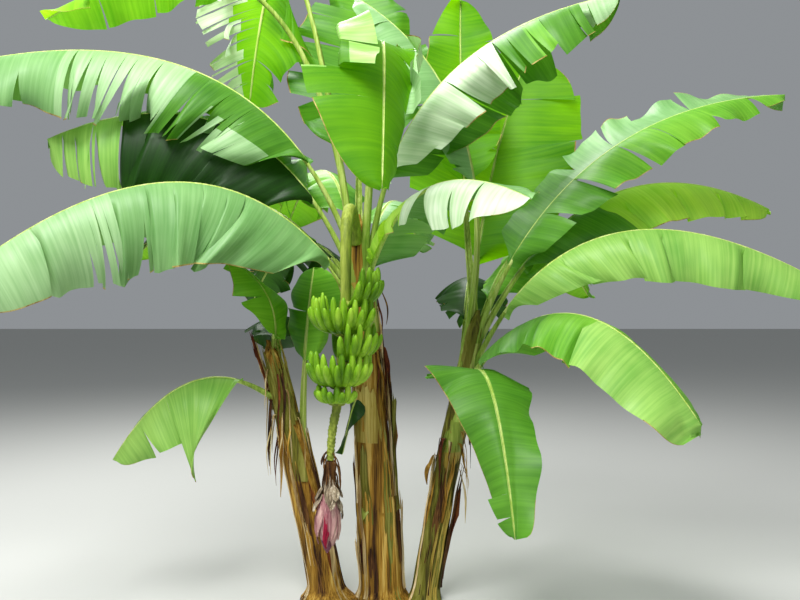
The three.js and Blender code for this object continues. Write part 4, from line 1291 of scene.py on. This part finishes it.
# %% Grow every leaf
grown = []
for item, leaf in enumerate(LEAVES):
    stem = leaf["stem"]
    node = "leaf_%s_%02d" % (stem, 1 + sum(other["stem"] == stem for other in LEAVES[:item]))
    order = sum(other["stem"] == stem and other["foot"] > leaf["foot"] for other in LEAVES)
    patches = [blade_patch(leaf, item, -1), blade_patch(leaf, item, 1), gutter_patch(leaf, order)]
    left, right = leaf["finish"]
    finishes = [BLADES[left], EDGE, SHEATH, STALK, RIB, BLADES[right], BARK["tan"]]
    finishes += [BLADES[shade[-1]] for shade in leaf.get("shades", [])]
    grown.append(make_piece("torn_" + node, patches, finishes, [node]))
print("leaf faces:", sum(len(piece.data.polygons) for piece in grown))

# %% [markdown]
# ## Green fruit
# A banana finger is curved, thickest in its middle, and has five blunt ridges. It narrows to a
# short stalk on one end and to a blunt tip with the dried flower's scar on the other. Fingers
# sit in two rows on a pad, called a hand, and bend up towards the light. A section with
# five soft corners is carried along each finger's curve.

# %% Fruit finishes
FRUIT = fibre_finish("unripe fruit skin", [(0.3, "4c7a10"), (0.5, "76a81c"), (0.7, "a2cc3c")],
                     0.03, 0.12, 0.38, 0.0008)
SCAR = fibre_finish("dried flower scar", [(0.35, "4a4a18"), (0.65, "6f7026")],
                    0.006, 0.02, 0.8, 0.001)
PEDUNCLE = fibre_finish("fruit stalk, green and downy",
                        [(0.3, "66752a"), (0.5, "8a9838"), (0.7, "a9b552")],
                        0.014, 0.12, 0.55, 0.002)
print("fruit finishes:", ", ".join(finish.name for finish in (FRUIT, SCAR, PEDUNCLE)))

# %% [markdown]
# ## The line of the fruit stalk
# The stalk climbs out of the crown, bends over in front of it and hangs, a little to the left
# at its foot. Eight points give that line, and they are the frame's own. A smooth curve through
# points needs no solving when each piece of it is a cubic that takes its leans from the
# neighbours, and the hands find their places on it by their height.

# %% The stalk's curve, as in the frame
STALK_POINTS = np.array([(-135, -31, 1905), (-158, -120, 2065), (-172, -235, 2010),
                         (-174, -300, 1850), (-176, -310, 1500), (-205, -310, 1150),
                         (-240, -305, 950), (-252, -300, 800)], dtype=float)
FRUIT_STALK_RADIUS = (36, 18)
HANGING_FROM = 0.35


def stalk_curve(t):
    """Points at t from 0 to 1 on a smooth curve through the stalk's points: between two of them
    a cubic that passes through both and leans along the chord of their neighbours."""
    points = STALK_POINTS
    padded = np.concatenate([[2 * points[0] - points[1]], points, [2 * points[-1] - points[-2]]])
    place = np.clip(np.asarray(t, dtype=float), 0, 1) * (len(points) - 1)
    number = np.minimum(place.astype(int), len(points) - 2)
    s = (place - number)[:, None]
    before, start, end, after = (padded[number + shift] for shift in range(4))
    lean_in, lean_out = (end - before) / 2, (after - start) / 2
    return ((2 * s ** 3 - 3 * s ** 2 + 1) * start + (s ** 3 - 2 * s ** 2 + s) * lean_in
            + (3 * s ** 2 - 2 * s ** 3) * end + (s ** 3 - s ** 2) * lean_out)


def stalk_at(height):
    """The point of the hanging part of the stalk at a height."""
    points = stalk_curve(np.linspace(HANGING_FROM, 1, 400))
    return np.stack([np.interp(-height, -points[:, 2], points[:, axis]) for axis in range(3)])


print("the stalk at 1 m:", stalk_at(1000).round())

# %% [markdown]
# ## A skin carried along a curve
# The fruit stalk, the fingers, the dried flowers and the core of the bud are all tubes whose
# section changes on the way. At each place two directions across the curve are found, and the
# section is laid out in them. The ends are drawn together to a point, and welding closes them.

# %% Tubes
def tube_patch(curve, section, finish=0):
    """A round grid: each row is the section's radius at every angle, laid across the curve.
    The curve is rows of points, and the section is rows of radii. Finish is one number, or
    one for each row."""
    way = unit(np.gradient(curve, axis=0))
    guide = np.array([1.0, 0.0, 0.0]) if abs(way[:, 0]).mean() < 0.7 else np.array([0, 1.0, 0])
    across = unit(np.cross(way, guide))
    other = np.cross(way, across)
    angle = round_angles(section.shape[1])[None, :, None]
    points = curve[:, None] + section[..., None] * (
        across[:, None] * np.cos(angle) + other[:, None] * np.sin(angle))
    if np.ndim(finish):
        finish = np.append(finish[:1], finish)[:, None]
    return patch_of(closed(points, curve[0], curve[-1]) * MM, finish=finish, round_it=True)


def bent(start, middle, end, t):
    """The curve that leaves start towards middle and arrives at end: a blend by squares."""
    t = t[:, None]
    return (1 - t) ** 2 * start + 2 * t * (1 - t) * middle + t ** 2 * end


straight = tube_patch(np.outer([0.0, 1.0, 2.0], [0, 0, 1]), np.ones((3, 6)))
print("a tube of three rows and six columns has", len(straight[1]), "faces")

# %% [markdown]
# ## The bunch
# The fruit stalk climbs out of the crown, bends over and hangs in front of the main stem, with
# one hand under the other and a bare, scarred length down to the bud. Each place and size is
# the frame's, and every hand is one mesh with its pad.

# %% Hands on their stalk
HANDS = [
    {"height": 1572, "heading": 350, "spread": 110, "fingers": 13, "length": 205},
    {"height": 1440, "heading": 228, "spread": 216, "fingers": 22, "length": 200},
    {"height": 1306, "heading": 10, "spread": 200, "fingers": 18, "length": 205},
    {"height": 1178, "heading": 246, "spread": 216, "fingers": 24, "length": 182},
    {"height": 1098, "heading": 235, "spread": 180, "fingers": 11, "length": 95},
]
FINGER_RADIUS = 18
FINGER_ROWS, FINGER_COLUMNS = 22, 20
FINGER_PLACES = [0, 0.1, 0.22, 0.5, 0.8, 0.92, 0.97, 1]
FINGER_FORM = [0.5, 0.55, 0.86, 1.02, 0.95, 0.74, 0.45, 0.2]
RIDGES, RIDGE_HEIGHT = 5, 0.07
LOWER_ROW, UPPER_ROW = 0.58, 0.86  # how far a finger rises, as a share of its length
PAD_RADIUS, NECK_RADIUS = 56, 30
PAD_HEIGHT = 40
PAD_ROWS, PAD_COLUMNS = 14, 48
PAD_LUMPS, LUMP_HEIGHT = 11, 0.05
SKIN, TIP_SCAR, CUSHION = range(3)


def finger_patch(centre, heading, length, rise, item):
    """A finger's radius is full in its middle, narrow at its neck and blunt at its tip, with
    five soft ridges that are a fifth-order wave round it."""
    out = np.array([np.cos(heading), np.sin(heading), 0])
    up = np.array([0, 0, 1.0])
    t = np.linspace(0, 1, FINGER_ROWS)
    curve = bent(centre + out * PAD_RADIUS * 0.7,
                 centre + out * (PAD_RADIUS + length * 0.5) + up * length * 0.05,
                 centre + out * (PAD_RADIUS + length * (0.95 - 0.5 * rise)) + up * length * rise, t)
    full = np.interp(t, FINGER_PLACES, FINGER_FORM)[:, None]
    wave = RIDGE_HEIGHT * np.cos(RIDGES * round_angles(FINGER_COLUMNS) + item)
    ridges = 1 + wave * np.sin(np.pi * np.clip(t, 0.05, 0.95))[:, None]
    size = FINGER_RADIUS * mix(0.93, 1.05, float(scatter(item, 33)))
    return tube_patch(curve, size * full * ridges, np.where(t > FINGER_PLACES[-2], TIP_SCAR, SKIN))


def pad_patch(centre, heading, spread):
    """The hand's cushion: a lumpy tube round the stalk, thick on the side of its fingers."""
    angle = round_angles(PAD_COLUMNS)
    turned = np.abs((angle - heading + np.pi) % (2 * np.pi) - np.pi)
    facing = smooth((np.radians(spread / 2 + 30) - turned) / 0.7)
    t = np.linspace(0, 1, PAD_ROWS)[:, None]
    swell = np.sin(np.pi * np.clip(t * 0.94 + 0.03, 0, 1)) ** 0.6
    radius = mix(NECK_RADIUS, PAD_RADIUS * 0.98, swell * facing)
    radius = radius * (1 + LUMP_HEIGHT * np.cos(angle * PAD_LUMPS) * swell)
    height = (t - 0.5) * PAD_HEIGHT * 1.15 + 0 * radius
    points = centre + np.stack([radius * np.cos(angle), radius * np.sin(angle), height], axis=-1)
    below, above = (centre + [0, 0, side * PAD_HEIGHT * 0.6] for side in (-1, 1))
    return patch_of(closed(points, below, above) * MM, finish=CUSHION, round_it=True)


for item, hand in enumerate(HANDS):
    centre = stalk_at(hand["height"])
    patches = [pad_patch(centre, np.radians(hand["heading"]), hand["spread"])]
    for count in range(hand["fingers"]):
        place = (count + 0.3 * float(scatter(item, count))) / (hand["fingers"] - 0.7) - 0.5
        heading = np.radians(hand["heading"] + hand["spread"] * place)
        length = hand["length"] * mix(0.92, 1.05, float(scatter(item, count + 20)))
        rise = (UPPER_ROW if count % 2 else LOWER_ROW) + 0.08 * float(scatter(item, count + 60))
        patches.append(finger_patch(centre, heading, length, rise, item * 20 + count))
    make_piece("fruit_hand_%d" % (item + 1), patches, [FRUIT, SCAR, PEDUNCLE],
               ["hand_%d" % (item + 1)], weld=WELD)

# %% [markdown]
# ## The skin of the fruit stalk
# Down to the last hand the stalk is round, with faint ribs. Below it every fallen flower has
# left a small raised scar, in a spiral, so the bare length looks knobbly. Two crossed cosine
# waves make the knobs, and they fade in where the fruit ends.

# %% The fruit stalk
BARE_BELOW = 1090  # the height where the fruit ends and the scarred length starts
KNOBS_FULL_WITHIN = 60
KNOB_HEIGHT, FAINT_RIB_HEIGHT = 3.2, 0.5
STALK_LINE_ROWS, STALK_LINE_COLUMNS = 240, 28


def stalk_patch():
    """A tube that thins downwards, ringed with scars in a spiral below the last hand."""
    t = np.linspace(0, 1, STALK_LINE_ROWS)
    curve = stalk_curve(t)
    angle = round_angles(STALK_LINE_COLUMNS)[None, :]
    height = curve[:, 2][:, None]
    below = smooth((BARE_BELOW - height) / KNOBS_FULL_WITHIN)
    knobs = np.cos(height / 4.6 + angle) * np.cos(angle * 3 - height / 9)
    ribs = FAINT_RIB_HEIGHT * np.cos(angle * 9 + height / 90)
    radius = mix(*FRUIT_STALK_RADIUS, t)[:, None] + KNOB_HEIGHT * below * knobs + ribs
    return tube_patch(curve, radius)


make_piece("bunch_stalk", [stalk_patch()], [PEDUNCLE], ["fruit_stalk"], weld=WELD)

# %% [markdown]
# ## The bud
# The bud is a spindle of tightly wrapped bracts, dusty purple outside and crimson where one has
# lifted. Above it old bracts and flowers hang on, dried grey-beige and brown. A bract is a
# spoon: a sheet on a spindle that is wide in its middle and drawn to a point. Each
# lies a little outside the last, and the withered ones stand off and curl.

# %% Bud finishes
BRACT = fibre_finish("bract, dusty purple", [(0.3, "7e4a50"), (0.5, "b07c7e"), (0.7, "d2aea2")],
                     0.006, 0.12, 0.6, 0.001)
CRIMSON = fibre_finish("bract, crimson inside", [(0.35, "8a1230"), (0.65, "c42a50")],
                       0.006, 0.12, 0.5, 0.001)
TIP = fibre_finish("bud tip, deep purple", [(0.35, "54263e"), (0.65, "8e5668")],
                   0.006, 0.12, 0.55, 0.001)
WITHERED = fibre_finish("withered bract, grey-beige",
                        [(0.3, "5c4d3e"), (0.5, "a08f76"), (0.7, "d4c8b0")],
                        0.006, 0.08, 0.75, 0.002, 0.1)
DUSTY, LIFTED, DRIED, BROWN, POINT = range(5)
BUD_FINISHES = [BRACT, CRIMSON, WITHERED, BARK["brown"], TIP]
print("bud finishes:", ", ".join(finish.name for finish in BUD_FINISHES))

# %% [markdown]
# ## The spindle and its bracts
# The spindle's radius is read off a short table along its length, from the frame. The close
# bracts follow each other by a turn of 2.4 radians, which is how a plant packs its leaves. The
# withered ones go once round the neck, and one lifted bract shows its crimson inside.

# %% Bracts on the bud
BUD_TOP = np.array([-252, -300, 795], dtype=float)
BUD_LENGTH = 460
BUD_RADIUS = 62
BUD_PLACES = [0, 0.12, 0.3, 0.45, 0.6, 0.75, 0.86, 0.95, 1]
BUD_FORM = [0.3, 0.34, 0.46, 0.72, 0.88, 0.78, 0.55, 0.28, 0.05]
BUD_LEAN = np.radians(-2)
BUD_WAY = np.array([np.sin(BUD_LEAN), 0, -np.cos(BUD_LEAN)])
BUD_ROWS, BUD_COLUMNS = 60, 36
BRACT_ROWS, BRACT_COLUMNS = 24, 15
NECK_TO, POINT_FROM = 0.34, 0.84
CLOSE_BRACTS, WITHERED_BRACTS = 11, 18
BRACT_TURN = 2.4
OPEN_OVER = 6  # a bract that stands off by more is wavy, and a closer one is bent round the bud


def bud_line(share):
    """Points on the bud's axis at a share of its length."""
    return BUD_TOP + BUD_WAY * (share * BUD_LENGTH)[..., None]


def bud_radius(share):
    """The spindle's radius along its length."""
    return BUD_RADIUS * np.interp(share, BUD_PLACES, BUD_FORM)


def bract_patch(heading, start, end, width, off, curl, finish, item):
    """A spoon on the spindle, from start to end of it, that stands off by an amount. Its width
    is a power of part of a sine arch."""
    s = np.linspace(0, 1, BRACT_ROWS)[:, None]
    w = np.linspace(-1, 1, BRACT_COLUMNS)[None, :]
    form = np.sin(np.pi * (0.08 + 0.9 * s) ** 0.8) ** 0.7
    angle = heading + w * width * form + 0.05 * np.sin(s * 8 + item)
    share = mix(start, end, s) + 0.02 * w ** 2
    away = off * smooth(s * 1.3) + curl * s ** 3
    away = away + 3 * np.sin(w * 7 + s * 6 + item) * (off > OPEN_OVER)
    radius = bud_radius(share) + 2.5 + away - 2.0 * w ** 2 * (off < OPEN_OVER)
    around = np.stack([np.cos(angle) * radius, np.sin(angle) * radius, 0 * radius], axis=-1)
    return patch_of((bud_line(share) + around) * MM, finish=finish)


def spindle_patch():
    """The bud's core with six soft folds, brown at its neck and deep purple at its point."""
    share = np.linspace(0, 1, BUD_ROWS)
    folds = 1 + 0.04 * np.cos(round_angles(BUD_COLUMNS) * 6 + share[:, None] * 9)
    finish = BROWN * (share < NECK_TO) + POINT * (share > POINT_FROM)
    return tube_patch(bud_line(share), bud_radius(share)[:, None] * folds, finish)


def close_bracts():
    """Wide bracts that lie close to the spindle, one after the other down to its point."""
    patches = []
    for item in range(CLOSE_BRACTS):
        pick = picks(item, 110, 4)
        start = 0.33 + 0.02 * item
        end = min(0.9, start + mix(0.36, 0.46, pick[0]))
        patches.append(bract_patch(BRACT_TURN * item + 0.4, start, end, mix(0.45, 0.7, pick[1]),
                                   mix(3, 12, pick[2]), mix(0, 12, pick[3]), DUSTY, item))
    return patches


def withered_bracts():
    """Dried bracts round the neck, that stand off and curl in or out."""
    patches = []
    for item in range(WITHERED_BRACTS):
        pick = picks(item, 120, 6)
        start = mix(0.1, 0.36, pick[0])
        heading = 2 * np.pi * item / WITHERED_BRACTS + pick[1]
        patches.append(bract_patch(heading, start, start + mix(0.16, 0.3, pick[2]),
                                   mix(0.3, 0.7, pick[3]), mix(8, 30, pick[4]),
                                   mix(-16, 22, pick[5]), DRIED, item + 40))
    return patches


lifted = bract_patch(np.radians(266), 0.54, 0.92, 0.26, 15, 2, LIFTED, 30)
bract_patches = [spindle_patch(), *close_bracts(), lifted, *withered_bracts()]
print("skins of the bud:", len(bract_patches))

# %% [markdown]
# ## Dried flowers
# Every bract has sheltered a row of small flowers, and their dried tubes hang on round the neck
# when the bract has gone. Each is a thin tube that goes out, bends over and hangs, and there
# are enough of them to read as a tuft.

# %% Flowers and the whole bud
FLOWERS = 40
FLOWER_ROWS, FLOWER_COLUMNS = 12, 8
FLOWER_PLACES, FLOWER_FORM = [0, 0.5, 0.85, 1], [0.6, 1, 1.2, 0.3]


def flower_patch(item):
    """A thin tube from the neck outwards and down, widest near its open end."""
    pick = picks(item, 140, 6)
    heading = 2 * np.pi * pick[0]
    out = np.array([np.cos(heading), np.sin(heading), 0])
    start = BUD_TOP + BUD_WAY * BUD_LENGTH * mix(-0.12, 0.3, pick[1]) + out * 14
    middle = start + out * mix(10, 42, pick[2]) + [0, 0, -mix(5, 30, pick[3])]
    end = middle + out * mix(-22, 10, pick[3]) + [0, 0, -mix(40, 130, pick[4])]
    t = np.linspace(0, 1, FLOWER_ROWS)
    size = mix(2.5, 5, pick[5]) * np.interp(t, FLOWER_PLACES, FLOWER_FORM)
    section = np.repeat(size[:, None], FLOWER_COLUMNS, axis=1)
    return tube_patch(bent(start, middle, end, t), section, BROWN)


flowers = [flower_patch(item) for item in range(FLOWERS)]
make_piece("bud_with_bracts", bract_patches + flowers, BUD_FINISHES, ["flower_bud"],
           weld=WELD)

# %% [markdown]
# ## Floor
# The plant stands on a plain pale studio floor, large enough to run out of sight.

# %% The floor
FLOOR_HALF = 40.0

side = np.linspace(-FLOOR_HALF, FLOOR_HALF, 5)
grid = np.stack(np.broadcast_arrays(side[None, :], side[:, None], 0 * side[:, None]), axis=-1)
floor_mesh = bpy.data.meshes.new("studio_floor")
points, quads, _, _ = patch_of(grid)
floor_mesh.from_pydata(points.tolist(), [], quads.tolist())
floor = bpy.data.objects.new("studio_floor", floor_mesh)
floor_paint, floor_tree = new_finish("pale matt paint")
paint = add(floor_tree, "BsdfPrincipled", {"Base Color": linear("b9bab5"), "Roughness": 0.8})
add(floor_tree, "OutputMaterial", Surface=paint.outputs["BSDF"])
floor_mesh.materials.append(floor_paint)
bpy.context.scene.collection.objects.link(floor)
print("floor", 2 * FLOOR_HALF, "m wide")
